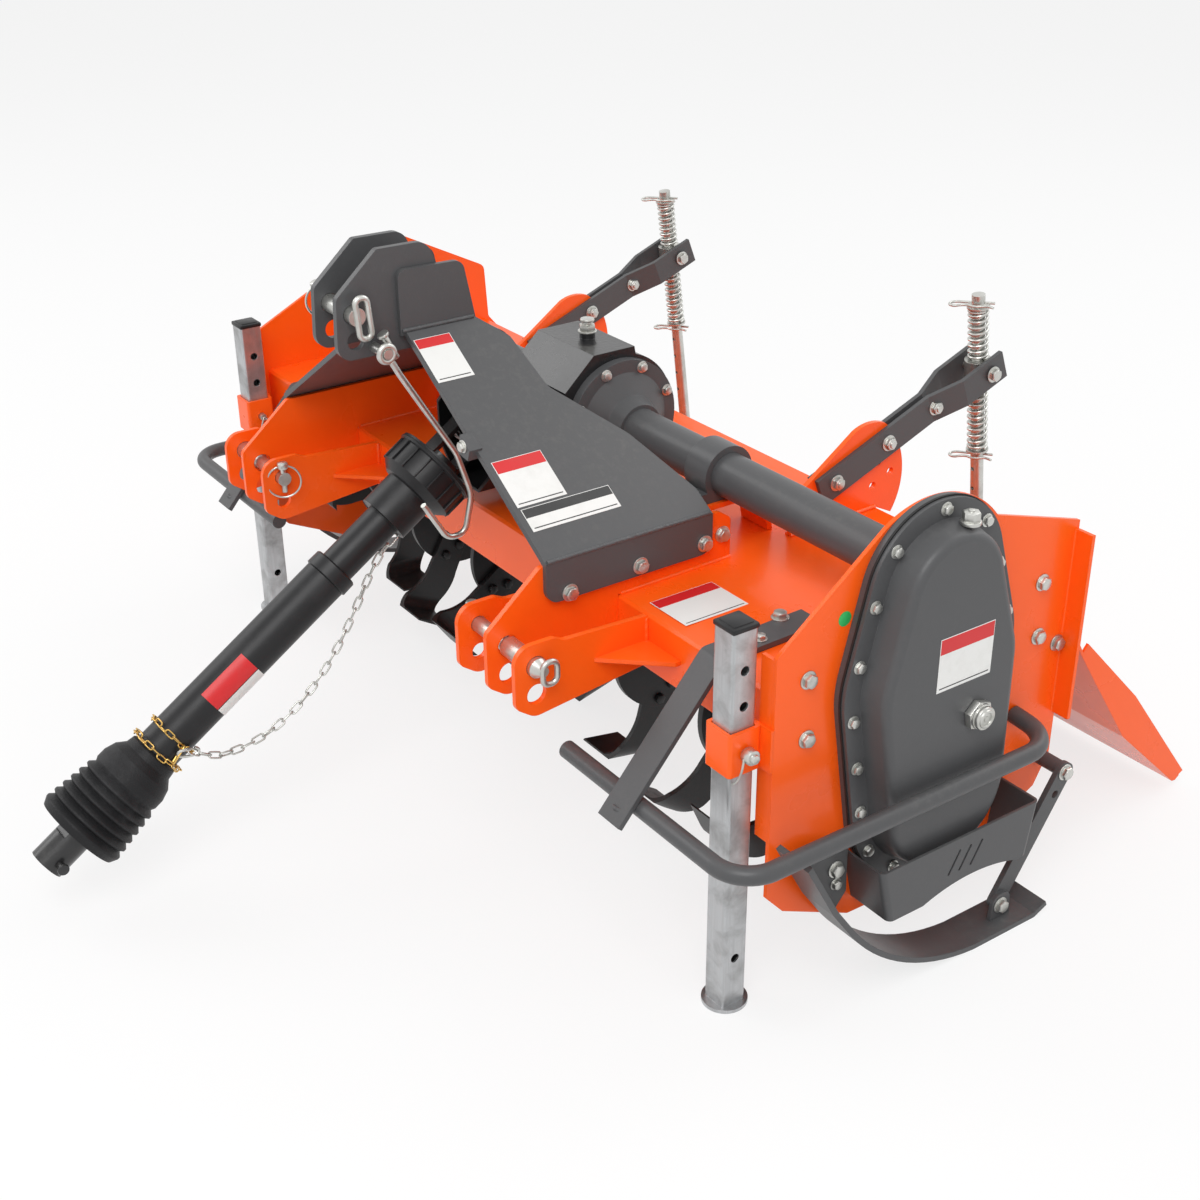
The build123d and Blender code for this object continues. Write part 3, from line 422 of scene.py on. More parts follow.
def plated_metal_group():
    """Two-tone plating with fine drawn scratches and handling marks."""
    group, source, result = effect_group("Plated metal", "Stain", "Grain Scale", "Vector", (60.0, 60.0, 60.0))
    place = add(group, "ShaderNodeTexCoord").outputs["Object"]
    stretch = add(group, "ShaderNodeVectorMath", operation="MULTIPLY")
    group.links.new(place, stretch.inputs[0])
    group.links.new(source.outputs["Grain Scale"], stretch.inputs[1])
    grain = texture(group, "ShaderNodeTexNoise", stretch.outputs[0], 1.0, Detail=6.0, Roughness=0.65).outputs[0]
    cloud = texture(group, "ShaderNodeTexNoise", place, 26.0, Detail=5.0, Roughness=0.6, Distortion=0.4).outputs[0]
    stain = calculate(group, "MULTIPLY", spread(group, cloud, 0.42, 0.68, 0.0, 1.0), source.outputs["Stain"])
    streak = calculate(group, "MULTIPLY", spread(group, grain, 0.45, 0.75, 0.0, 0.5), source.outputs["Stain"])
    mask = calculate(group, "MAXIMUM", stain, streak)
    colour = blend_colours(group, mask, source.outputs["Color"], source.outputs["Stain Color"])
    rough = calculate(group, "ADD", source.outputs["Roughness"], spread(group, grain, 0.3, 0.7, -0.06, 0.08))
    rough = calculate(group, "ADD", rough, calculate(group, "MULTIPLY", stain, 0.2))
    put_out(group, result, colour, rough, grain)


def moulded_group():
    """Grained plastic or rubber with scuffed high spots."""
    group, source, result = effect_group("Moulded grain", "Scuff", "Pebble Scale", "Float", 320.0)
    place = add(group, "ShaderNodeTexCoord").outputs["Object"]
    pebble = texture(group, "ShaderNodeTexVoronoi", place, source.outputs["Pebble Scale"]).outputs[0]
    cloud = texture(group, "ShaderNodeTexNoise", place, 14.0, Detail=6.0, Roughness=0.7).outputs[0]
    scuff = calculate(group, "MULTIPLY", spread(group, cloud, 0.52, 0.74, 0.0, 1.0), source.outputs["Scuff"])
    colour = blend_colours(group, scuff, source.outputs["Color"], source.outputs["Scuff Color"])
    rough = calculate(group, "ADD", source.outputs["Roughness"], spread(group, cloud, 0.3, 0.7, -0.05, 0.07))
    put_out(group, result, colour, rough, pebble)


def new_finish(name, group, values, bump, depth, edge, metallic=0.0, coat=0.0, coat_roughness=0.08, gloss=0.5):
    """A Principled material fed by one of the groups; edge is the radius of its eased corners in metres."""
    tree = cleared(bpy.data.materials.new(name))
    output = add(tree, "ShaderNodeOutputMaterial")
    shader = add(tree, "ShaderNodeBsdfPrincipled")
    shader.inputs["Metallic"].default_value = metallic
    shader.inputs["Coat Weight"].default_value = coat
    shader.inputs["Specular IOR Level"].default_value = gloss
    shader.inputs["Coat Roughness"].default_value = coat_roughness
    effect = add(tree, "ShaderNodeGroup")
    effect.node_tree = bpy.data.node_groups[group]
    for key, value in values.items():
        effect.inputs[key].default_value = (*value, 1) if key.endswith("Color") else value
    relief = add(tree, "ShaderNodeBump")
    relief.inputs["Strength"].default_value = bump
    relief.inputs["Distance"].default_value = depth
    tree.links.new(effect.outputs["Height"], relief.inputs["Height"])
    if edge:
        corner = add(tree, "ShaderNodeBevel", samples=4)
        corner.inputs["Radius"].default_value = edge
        tree.links.new(corner.outputs[0], relief.inputs["Normal"])
    tree.links.new(relief.outputs[0], shader.inputs["Normal"])
    tree.links.new(effect.outputs["Color"], shader.inputs["Base Color"])
    tree.links.new(effect.outputs["Roughness"], shader.inputs["Roughness"])
    tree.links.new(shader.outputs[0], output.inputs[0])


# Node of the frame and the finish that it shows
NODE_FINISHES = {
    "orange gloss paint": ("deck", "deck_hinges", "side_plate_right", "side_plate_left", "hitch_brackets",
                           "pedestals", "quadrants", "stand_sleeves", "tailboard"),
    "grey satin paint": ("axle_tubes", "saddles", "mast", "mast_legs", "case_back", "case_cover", "case_guard",
                         "hoops", "braces", "lift_arms", "skids", "skid_links"),
    "black cast gloss": ("gearbox", "input_yoke", "tractor_yoke", "drive_joint", "rotor_bearing"),
    "black blade paint": ("rotor", "rotor_flanges", "tines"),
    "smooth black plastic": ("input_shield", "guard_bell", "guard_outer"),
    "pebbled black plastic": ("guard_bellows",),
    "bright zinc": ("hitch_pins", "hinge_rod", "top_pin", "hook_rod", "rod_right", "rod_left",
                    "swivel_right", "swivel_left"),
    "bare drawn steel": ("stand_right", "stand_left", "drive_tube"),
    "black gasket": ("case_gasket",),
}


# A colour in quotes is one of the settings.
# Name, colour, dust colour, dust, roughness, peel scale, bump, its depth, coat, coat roughness, gloss, edge
SPRAYED = (
    ("orange gloss paint", "orange", (0.80, 0.16, 0.03), 0.35, 0.28, 240.0, 0.10, 0.0006, 0.12, 0.08, 0.26, 0.0012),
    ("grey satin paint", "grey", (0.19, 0.185, 0.175), 0.40, 0.40, 300.0, 0.16, 0.0006, 0.08, 0.15, 0.32, 0.0012),
    ("black cast gloss", "black", (0.07, 0.068, 0.062), 0.5, 0.28, 150.0, 0.30, 0.0010, 0.35, 0.08, 0.4, 0.0016),
    ("black blade paint", "black", (0.10, 0.095, 0.085), 0.6, 0.42, 180.0, 0.20, 0.0008, 0.08, 0.2, 0.35, 0.0010),
)
# Name, colour, scuff colour, scuff, roughness, pebble scale, bump, its depth, coat, gloss, edge
MOULDED = (
    ("smooth black plastic", "plastic", (0.05, 0.05, 0.052), 0.35, 0.38, 900.0, 0.08, 0.0003, 0.0, 0.3, 0.0010),
    ("pebbled black plastic", "plastic", (0.06, 0.06, 0.062), 0.4, 0.48, 420.0, 0.45, 0.0008, 0.0, 0.2, 0.0014),
    ("black gasket", (0.008, 0.008, 0.008), (0.04, 0.04, 0.04), 0.2, 0.7, 700.0, 0.2, 0.0004, 0.0, 0.5, 0.0),
    ("weld bead grey", "grey", (0.17, 0.17, 0.17), 0.3, 0.40, 260.0, 0.6, 0.0012, 0.0, 0.5, 0.0),
    ("weld bead orange", "orange", (0.75, 0.12, 0.02), 0.4, 0.30, 260.0, 0.6, 0.0012, 0.4, 0.5, 0.0),
    ("label white", (0.78, 0.78, 0.76), (0.55, 0.54, 0.50), 0.35, 0.35, 1200.0, 0.03, 0.0001, 0.0, 0.5, 0.0),
    ("label red", "label", (0.40, 0.06, 0.05), 0.3, 0.35, 1200.0, 0.03, 0.0001, 0.0, 0.5, 0.0),
    ("label black", (0.02, 0.02, 0.02), (0.08, 0.08, 0.08), 0.3, 0.35, 1200.0, 0.03, 0.0001, 0.0, 0.5, 0.0),
    ("green mark", (0.02, 0.42, 0.10), (0.05, 0.25, 0.10), 0.3, 0.4, 900.0, 0.05, 0.0001, 0.0, 0.5, 0.0),
)
# Name, colour, stain colour, stain, roughness, grain scale, bump, its depth, metallic, edge
PLATED = (
    ("bright zinc", "zinc", (0.30, 0.30, 0.27), 0.5, 0.30, (140.0, 140.0, 140.0), 0.10, 0.0003, 0.9, 0.0006),
    ("yellow plating", "gold", (0.38, 0.22, 0.10), 0.5, 0.28, (180.0, 180.0, 180.0), 0.08, 0.0002, 0.9, 0.0),
    ("bare drawn steel", (0.50, 0.51, 0.52), (0.22, 0.215, 0.21), 0.6, 0.33, (260.0, 260.0, 7.0), 0.20, 0.0004,
     0.85, 0.0008),
)


class FinishNodes(bpy.types.Operator):
    """Makes the finishes and gives one to every node of the frame."""

    bl_idname = "tiller.finishes"
    bl_label = "Finishes"

    def execute(self, context):
        settings = context.scene.tiller_colours

        def colour_of(value):
            return tuple(getattr(settings, value)) if isinstance(value, str) else value

        sprayed_paint_group()
        plated_metal_group()
        moulded_group()
        for name, colour, dusty, dust, rough, peel, bump, depth, coat, coat_rough, gloss, edge in SPRAYED:
            values = {"Color": colour_of(colour), "Dust Color": dusty, "Dust": dust, "Roughness": rough,
                      "Peel Scale": peel}
            new_finish(name, "Sprayed paint", values, bump, depth, edge, coat=coat, coat_roughness=coat_rough,
                       gloss=gloss)
        for name, colour, scuffed, scuff, rough, pebble, bump, depth, coat, gloss, edge in MOULDED:
            values = {"Color": colour_of(colour), "Scuff Color": scuffed, "Scuff": scuff, "Roughness": rough,
                      "Pebble Scale": pebble}
            new_finish(name, "Moulded grain", values, bump, depth, edge, coat=coat, gloss=gloss)
        for name, colour, stained, stain, rough, grain, bump, depth, metallic, edge in PLATED:
            values = {"Color": colour_of(colour), "Stain Color": stained, "Stain": stain, "Roughness": rough,
                      "Grain Scale": grain}
            new_finish(name, "Plated metal", values, bump, depth, edge, metallic=metallic)
        for finish, nodes in NODE_FINISHES.items():
            for name in nodes:
                painted(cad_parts[name], finish)
        return {"FINISHED"}


# ------------------------------------------------------------------ bolts
def rim_y(z, inset, rear):
    """Y of the chain case's rim at a height, moved in by inset; rear picks the rear side."""
    top, middle, low = CASE_CIRCLES
    edges = []
    for first, second in ((top, middle), (middle, low), (top, low)):
        for step in range(61):
            y, height, radius = (a + (b - a) * step / 60 for a, b in zip(first, second))
            reach = (radius - inset) ** 2 - (z - height) ** 2
            if reach >= 0:
                edges.append(y + sqrt(reach) if rear else y - sqrt(reach))
    return max(edges) if rear else min(edges)


# Frame bolts: x, y, z of the seat, and which way the head points
LARGE_BOLTS = (
    # right side plate
    (730.0, -34, 482, "+x"), (730.0, -32, 398, "+x"), (730.0, 28, 179, "+x"), (730.0, 30, 158, "+x"),
    (730.0, 372, 492, "+x"), (730.0, 376, 410, "+x"), (730.0, 417, 387, "+x"),
    # left side plate
    (-730.0, -37, 485, "-x"), (-730.0, -34, 398, "-x"), (-730.0, 372, 492, "-x"), (-730.0, 376, 410, "-x"),
    (-730.0, 416, 387, "-x"),
    # feet of the mast legs, through the middle hitch plates
    (388.0, -147, 491, "+x"), (388.0, -33, 497, "+x"), (388.0, 76, 499, "+x"), (380.0, 113, 500, "+x"),
    (-388.0, -147, 491, "-x"), (-388.0, -33, 497, "-x"), (-388.0, 76, 499, "-x"), (-380.0, 113, 500, "-x"),
    # braces of the hoops
    (571.0, 58, 468.4, "+z"), (-571.0, 58, 468.4, "+z"),
    # skids and their links
    (751.0, 12, 196, "+x"), (-751.0, 12, 196, "-x"), (785.0, 301, 30, "+x"), (-785.0, 301, 30, "-x"),
    (779.0, 410, 206, "+x"), (-779.0, 410, 206, "-x"),
)
SMALL_BOLTS = (
    (751.0, 14, 172, "+x"), (-751.0, 14, 172, "-x"),
    (599.0, 2, 467.4, "+z"), (-599.0, 2, 467.4, "+z"),
    (212.0, -196, 650, "-y"),
)
HEADINGS = {"+x": (1, 0, 0), "-x": (-1, 0, 0), "+z": (0, 0, 1), "-y": (0, -1, 0)}
SADDLE_BOLTS = ((300, 98), (336, 98), (300, 210), (336, 210))       # x, y
ARM_BOLTS = ((313, 530), (411, 568), (501, 603))                    # y, z
TINE_BOLTS = ((-11, 66), (8, 90))                                   # y, z from the rotor's axis
CASE_BOLT_ZS = (628, 562, 486, 410, 338, 268, 200, 154)
GEARBOX_BOLT_R = 85.5


class FrameBolts(bpy.types.Operator):
    """Hex bolts of the body, the mast, the hoops and the skids."""

    bl_idname = "tiller.frame_bolts"
    bl_label = "Frame bolts"

    def execute(self, context):
        sizes = context.scene.tiller_sizes
        places = [standing(spot, HEADINGS[way], roll=0.3 * k) for k, (*spot, way) in enumerate(LARGE_BOLTS)]
        plated("frame_bolts", hex_bolt(sizes.large_bolt), places)
        places = [standing(spot, HEADINGS[way], roll=0.4 * k) for k, (*spot, way) in enumerate(SMALL_BOLTS)]
        for x, y in SADDLE_BOLTS:
            places += [standing((side * x, y, 546), (0, 0, 1), roll=x) for _, side in SIDES]
        plated("saddle_bolts", hex_bolt(sizes.small_bolt), places)
        places = []
        for _, side in SIDES:
            for y, z in ARM_BOLTS:
                places += outward_pair(side * ARM_X, 11.3, y, z, roll=y)
        plated("arm_bolts", hex_bolt(sizes.large_bolt, stud=4.0), places)
        places = []
        for k in range(8):
            angle = 2 * pi * (k + 0.5) / 8
            for _, side in SIDES:
                spot = (side * 90, AXLE_Y + GEARBOX_BOLT_R * cos(angle), AXLE_Z + GEARBOX_BOLT_R * sin(angle))
                places.append(standing(spot, (side, 0, 0), roll=k))
        plated("gearbox_bolts", hex_bolt(sizes.small_bolt), places)
        return {"FINISHED"}


class CaseDetails(bpy.types.Operator):
    """Rim bolts, plugs and marks of the chain case."""

    bl_idname = "tiller.case_details"
    bl_label = "Chain case details"

    def execute(self, context):
        sizes = context.scene.tiller_sizes
        places = [standing((CASE_RIM_X, 156, 663), (1, 0, 0))]
        for z in CASE_BOLT_ZS:
            for rear in (False, True):
                places.append(standing((CASE_RIM_X, rim_y(z, 12.5, rear), z), (1, 0, 0), roll=z))
        places.append(standing((CASE_RIM_X, 174, 141), (1, 0, 0)))
        plated("case_bolts", hex_bolt(sizes.small_bolt), places)
        filler = joined("Plug", [
            round_bar(13, 5, bevel=1),
            round_bar(11.5, 12, sides=6, bevel=1.4, at=(0, 0, 4.5)),
            round_bar(4, 4, bevel=1, at=(0, 0, 15)),
        ])
        plated("case_filler_plug", filler, [standing((770, 178, 645), (0, 0, 1))])
        level = joined("Sight plug", [
            round_bar(21.5, 11, sides=6, bevel=1.6),
            round_bar(17.5, 4, bevel=1.2, at=(0, 0, 10)),
            round_bar(16.5, 7, bevel=2.4, at=(0, 0, 13)),
            moved(ring(10.5, 4.5), Matrix.Translation((0, 0, 20))),
            round_bar(4.0, 1.6, bevel=0.6, at=(0, 0, 19.6)),
        ])
        plated("case_level_plug", level, [standing((CASE_FACE_X, 203, 380), (1, 0, 0), roll=0.2)])
        dot = set_out("green_mark", round_bar(10, 0.6, bevel=0.2), [standing((PLATE_X, 20, 548), (1, 0, 0))])
        finished(dot, "base", "green mark")
        return {"FINISHED"}


class Breather(bpy.types.Operator):
    """Breather on top of the gearbox."""

    bl_idname = "tiller.breather"
    bl_label = "Gearbox breather"

    def execute(self, context):
        breather = joined("Breather", [
            round_bar(14.5, 3, bevel=0.8),
            round_bar(13, 9, sides=6, bevel=1.5, at=(0, 0, 2.8)),
            round_bar(8, 6, bevel=1.2, at=(0, 0, 11)),
            round_bar(11, 5, bevel=2.2, at=(0, 0, 16.5)),
        ])
        plated("gearbox_breather", breather, [standing((0, AXLE_Y - 4, AXLE_Z + 117), (0, 0, 1))])
        return {"FINISHED"}


class TineBolts(bpy.types.Operator):
    """Two hex bolts through each tine and its flange."""

    bl_idname = "tiller.tine_bolts"
    bl_label = "Tine bolts"

    def execute(self, context):
        places = []
        for row, x in enumerate(FLANGE_XS):
            for k in range(4):
                # end flanges carry inward tines only, the others alternate
                to_right = (row == 0) if row in (0, len(FLANGE_XS) - 1) else k % 2 == 0
                way = 1 if to_right else -1
                turn = Matrix.Rotation(radians(-(k * 90 + row * FLANGE_TURN)), 4, "X")
                hub = Matrix.Translation((x, AXLE_Y, ROTOR_Z)) @ turn
                for y, z in TINE_BOLTS:
                    places.append(hub @ standing((13 * way, y, z), (way, 0, 0), roll=z))
                    places.append(hub @ standing((-5 * way, y, z), (-way, 0, 0), roll=y))
        bolts = set_out("tine_bolts", hex_bolt(0.0085, washer=False), places)
        finished(bolts, "rotor", "black blade paint")
        return {"FINISHED"}


# ------------------------------------------------------------------ tailboard lift
def coil(low, high, turns, radius, thickness):
    """A compression spring along Z with closed end turns; millimetres."""
    steps = 20
    points = []
    for k in range(int(turns * steps) + 1):
        turn = k / steps
        if turn < 1:
            height = low + thickness * (0.5 + turn)
        elif turn > turns - 1:
            height = high - thickness * (0.5 + turns - turn)
        else:
            height = low + 1.5 * thickness + (high - low - 3 * thickness) * (turn - 1) / (turns - 2)
        points.append((radius * cos(2 * pi * turn), radius * sin(2 * pi * turn), height))
    return wire(points, thickness / 2, smooth=False)


class LiftSprings(bpy.types.Operator):
    """The coil springs over and under each swivel."""

    bl_idname = "tiller.lift_springs"
    bl_label = "Lift springs"

    def execute(self, context):
        thickness = context.scene.tiller_sizes.spring_wire * 1000
        lean = Matrix.Rotation(ROD_LEAN, 4, "X")
        for hand, side in SIDES:
            foot = Matrix.Translation((side * ROD_X, SWIVEL.y, SWIVEL.z)) @ lean
            for name, low, high, turns in (("top", 16.5, 97.0, 9), ("low", -132.0, -16.5, 12)):
                spring = moved(coil(low, high, turns, 15.9 - thickness / 2, thickness), foot)
                spring.name = f"coil_{name}_{hand}"
                finished(spring, f"swivel_{hand}", "bright zinc")
                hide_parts(f"spring_{name}_{hand}")
                if name == "low":
                    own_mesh(spring)
        return {"FINISHED"}


def hairpin():
    """An R-clip in the XY plane: its straight leg runs along X through the rod at the origin."""
    return wire([(x, y, 0) for x, y in (
        (-24, 0), (0, 0), (22, 0), (33, -1), (41, 5), (40, 13), (32, 17), (24, 12), (14, 10.5), (7, 15), (0, 16.5),
        (-7, 14.5), (-14, 12), (-21, 15), (-25, 18))], 2.0)


class RodClips(bpy.types.Operator):
    """Hairpins, washers and nuts on the lift rods and their eyes."""

    bl_idname = "tiller.rod_clips"
    bl_label = "Rod clips"

    def execute(self, context):
        across = Matrix((
            (-1, 0, 0, 0), (0, ROD_FRONT.y, ROD_UP.y, 0), (0, ROD_FRONT.z, ROD_UP.z, 0), (0, 0, 0, 1)))
        across = across @ Matrix.Rotation(radians(32), 4, "Z")
        for hand, side in SIDES:
            places = [Matrix.Translation(on_rod(side, height)) @ across for height in (105.0, -142.0)]
            clips = set_out(f"hairpins_{hand}", hairpin(), places)
            start_edit("SELECT")
            bpy.ops.mesh.normals_make_consistent(inside=False)
            end_edit()
            finished(clips, f"rod_{hand}", "bright zinc")
            nuts = outward_pair(side * ARM_X, 33, SWIVEL.y, SWIVEL.z)
            plated(f"swivel_nuts_{hand}", hex_bolt(0.0098), nuts, f"swivel_{hand}")
            nuts = outward_pair(side * ROD_X, 16, ROD_EYE.y, ROD_EYE.z)
            plated(f"eye_nuts_{hand}", hex_bolt(0.0098, stud=3.0), nuts, "tailboard")
        return {"FINISHED"}


# ------------------------------------------------------------------ hitch pins
def linch_pin(shank, ring_radius):
    """A linch pin along Z with its snap ring over it."""
    parts = [
        round_bar(shank, 46, bevel=1.2, at=(0, 0, -23)),
        round_bar(shank * 2.0, 11, bevel=3, at=(0, 0, 17)),
        moved(ring(ring_radius, 3.2), standing((0, 0, 22 - ring_radius), (0, 1, 0))),
    ]
    return joined("Linch pin", parts)


class LinchPins(bpy.types.Operator):
    """Linch pins and snap rings of the lower pins and the top link pin."""

    bl_idname = "tiller.linch_pins"
    bl_label = "Linch pins"

    def execute(self, context):
        places = [standing((side * 292, -240, 438), (0, 0, 1), roll=radians(90 + 20 * side)) for _, side in SIDES]
        plated("lower_linch_pins", linch_pin(4.5, 27), places)
        plated("top_linch_pin", linch_pin(4.0, 24), [standing((-51, -258, 798), (0, -0.35, 1), roll=radians(80))])
        peg = joined("Peg", [
            round_bar(5.0, 40, bevel=1.2, at=(0, 0, -20)),
            round_bar(8.5, 5, bevel=1.2, at=(0, 0, 18)),
        ])
        plated("hook_peg", peg, [standing((58, -215, 750), (0, -0.45, 0.9))])
        return {"FINISHED"}


# ------------------------------------------------------------------ stands
# Wire loop of a stand's pin: outwards of the post's middle, Y of it, height
PIN_LOOP = (
    (34, -10, 398), (36, -12, 385), (26, -14, 358), (0, -16, 346), (-33, -12, 362), (-38, -6, 388), (-35, 0, 402),
    (-35, 6, 394),
)


class StandDetails(bpy.types.Operator):
    """Caps, locking pins and wire loops of the parking stands."""

    bl_idname = "tiller.stand_details"
    bl_label = "Parking stand details"

    def execute(self, context):
        for hand, side in SIDES:
            cap = joined(f"stand_cap_{hand}", [
                block((40, 40, 7), (side * STAND_X, STAND_Y, 565), bevel=2.0),
                block((30, 30, 3), (side * STAND_X, STAND_Y, 568.6), bevel=1.2),
            ])
            finished(cap, f"stand_{hand}", "smooth black plastic")
        # two stubs with the post's own room left between them, so that the stand slides freely
        pin = joined("Pin", [
            round_bar(6.2, 14, bevel=1.2, at=(0, 0, -34)),
            round_bar(6.2, 26, bevel=1.2, at=(0, 0, 19.8)),
            round_bar(10.5, 14, bevel=2.0, at=(0, 0, 27)),
        ])
        places = [standing((side * STAND_X, STAND_Y, STAND_PIN_Z), (side, 0, 0)) for _, side in SIDES]
        plated("stand_pins", pin, places)
        loops = [
            wire([(side * (STAND_X + out), STAND_Y + y, z) for out, y, z in PIN_LOOP], 1.6) for _, side in SIDES
        ]
        finished(joined("stand_pin_loops", loops), "base", "bright zinc")
        return {"FINISHED"}


# ------------------------------------------------------------------ labels
def label_plate(width, height, head, head_finish):
    """A blank self-adhesive label in the XY plane, its coloured head at the top."""
    layers = (
        ((width, height, 0.5), (0, 0, 0.25), 0.2, "label white"),
        ((width - 2, head, 0.3), (0, height / 2 - head / 2 - 1, 0.55), 0.1, head_finish),
        ((width - 8, 1.6, 0.2), (0, -height / 2 + 5, 0.55), 0.05, "label black"),
    )
    return joined("Label", [painted(block(size, at, bevel, segments=1), finish) for size, at, bevel, finish in layers])


def facing(point, normal, up):
    """Matrix that lays an XY label on a surface, with its top towards up."""
    out = Vector(normal).normalized()
    right = Vector(up).cross(out).normalized()
    top = out.cross(right)
    turn = Matrix((right, top, out)).transposed().to_4x4()
    return Matrix.Translation(Vector(point)) @ turn


class Labels(bpy.types.Operator):
    """Blank labels on the deck, the mast leg and the chain case."""

    bl_idname = "tiller.labels"
    bl_label = "Blank labels"

    def execute(self, context):
        run, drop = LEG_FOOT[0] - LEG_TOP[0], LEG_TOP[1] - LEG_FOOT[1]
        fall = atan2(drop, run)
        out = Vector((sin(fall), 0, cos(fall)))
        up = Vector((-cos(fall), 0, sin(fall)))

        def on_leg(share, y):
            spot = Vector((LEG_TOP[0] + run * share, y, LEG_TOP[1] - drop * share)) + out * 0.1
            return facing(spot, out, up)

        for name, width, height, head, finish, place in (
            ("label_leg_top", 57, 78, 16, "label red", on_leg(0.14, -152)),
            ("label_leg_low", 78, 77, 19, "label red", on_leg(0.679, -136)),
            ("label_leg_foot", 140, 37, 14, "label black", on_leg(0.828, -103)),
            ("label_deck", 105, 80, 20, "label red", facing((465, 8, 459.4), (0, 0, 1), (-1, 0, 0))),
            ("label_case", 94, 76, 21, "label red", facing((CASE_FACE_X + 0.1, 175, 471), (1, 0, 0), (0, 0, 1))),
        ):
            finished(set_out(name, label_plate(width, height, head, finish), [place]), "base")
        return {"FINISHED"}


# ------------------------------------------------------------------ power shaft
def shaft_turned(name, profile, body):
    """A plastic ring turned round the power shaft from a closed profile of (radius, along)."""
    mesh = bpy.data.meshes.new("Turned")
    mesh.from_pydata([(radius * 0.001, 0, along * 0.001) for radius, along in profile],
                     [(k, (k + 1) % len(profile)) for k in range(len(profile))], [])
    part = bpy.data.objects.new("Turned", mesh)
    bpy.context.collection.objects.link(part)
    choose(part)
    start_edit("SELECT")
    bpy.ops.mesh.spin(steps=48, angle=2 * pi, center=(0, 0, 0), axis=(0, 0, 1))
    bpy.ops.mesh.select_all(action="SELECT")
    bpy.ops.mesh.remove_doubles(threshold=0.00001)
    bpy.ops.mesh.normals_make_consistent(inside=False)
    ring_part = finished(moved(end_edit(), shaft_frame()), body, "smooth black plastic")
    ring_part.name = name


def shaft_frame():
    """Matrix from a part along Z to the power shaft, with the part's X across and its Y upwards."""
    return Matrix.Translation(JOINT) @ Matrix((
        (-1, 0, 0, 0), (0, -UNDER.y, SHAFT.y, 0), (0, -UNDER.z, SHAFT.z, 0), (0, 0, 0, 1)))


def link(length, width, thickness):
    """One welded chain link along X."""
    deselect_all()
    bpy.ops.mesh.primitive_torus_add(
        major_segments=20, minor_segments=8, major_radius=(width - thickness) * 0.0005,
        minor_radius=thickness * 0.0005)
    part = bpy.context.object
    for way in (1, -1):
        start_edit("DESELECT", "VERT")
        mesh = bmesh.from_edit_mesh(part.data)
        for vertex in mesh.verts:
            vertex.select_set(vertex.co.x * way > 0.0002)
        bmesh.update_edit_mesh(part.data)
        bpy.ops.transform.translate(value=(way * (length - width) * 0.0005, 0, 0))
        end_edit()
    return part


def lying(point, along, roll):
    """Matrix that lays an X-long link at a point along a direction."""
    turn = Vector(along).to_track_quat("X", "Z").to_matrix().to_4x4()
    return Matrix.Translation(Vector(point)) @ turn @ Matrix.Rotation(roll, 4, "X")


# The chain's route under the shaft: across, along the shaft, below its axis
CHAIN_ROUTE = (
    (4.0, 172.0, 33.4), (4.0, 200.0, 33.4), (6.0, 240.0, 46.0), (9.0, 290.0, 69.0), (13.0, 345.0, 91.0),
    (18.0, 402.0, 105.0), (24.0, 462.0, 108.5), (29.0, 516.0, 98.0), (34.0, 560.0, 75.0), (39.0, 589.0, 48.0),
    (41.0, 603.0, 7.0),
)


def chain_line():
    """Points along the chain's smooth route, in metres."""
    route = curve_by("Chain route", [on_shaft(*step) for step in CHAIN_ROUTE], 16)
    bpy.context.view_layer.update()
    line = bpy.data.meshes.new_from_object(route)
    points = [vertex.co.copy() for vertex in line.vertices]
    bpy.data.meshes.remove(line)
    bpy.data.curves.remove(route.data)
    return points


class GuardChain(bpy.types.Operator):
    """The chain that keeps the shaft's guard from turning."""

    bl_idname = "tiller.guard_chain"
    bl_label = "Guard chain"

    def execute(self, context):
        sizes = context.scene.tiller_sizes
        length, thickness = sizes.chain_link * 1000, sizes.chain_wire * 1000
        points = chain_line()
        total = sum((b - a).length for a, b in zip(points, points[1:]))
        pitch = (length - 2.15 * thickness) * 0.001
        count = int((total - length * 0.001) / pitch) + 1
        pitch = (total - length * 0.001) / (count - 1)
        places = []
        travelled = 0.0
        wanted = length * 0.0005
        for a, b in zip(points, points[1:]):
            run = (b - a).length
            while len(places) < count and wanted <= travelled + run + 1e-9:
                spot = a + (b - a) * ((wanted - travelled) / run)
                roll = radians(45 if len(places) % 2 else -45) + 0.25 * sin(1.7 * len(places))
                places.append(lying(spot * 1000, b - a, roll))
                wanted += pitch
            travelled += run
        chain = set_out("guard_chain", link(length, 12.5, thickness), places)
        painted(chain, "bright zinc")
        choose(chain)
        bpy.ops.object.shade_smooth_by_angle(angle=radians(50))
        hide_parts("safety_chain")
        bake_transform(chain)
        return {"FINISHED"}


# Snap hook: across, along the shaft, below its axis; and profiles of two rings: radius, along the shaft
HOOK_BEND = (
    (41, 599, 10), (44, 604, 2), (43, 612, -3), (40, 618, 2), (39, 614, 12), (41, 604, 20), (42, 596, 24),
    (41, 590, 20), (41, 593, 13),
)
COLLAR_PROFILE = ((33, 270), (35.5, 272), (36, 292), (33, 294), (28.2, 294), (28.2, 270))
RIM_PROFILE = ((60.8, 62), (64.2, 60.5), (66.2, 62), (66.4, 64), (64, 66), (60.8, 66))


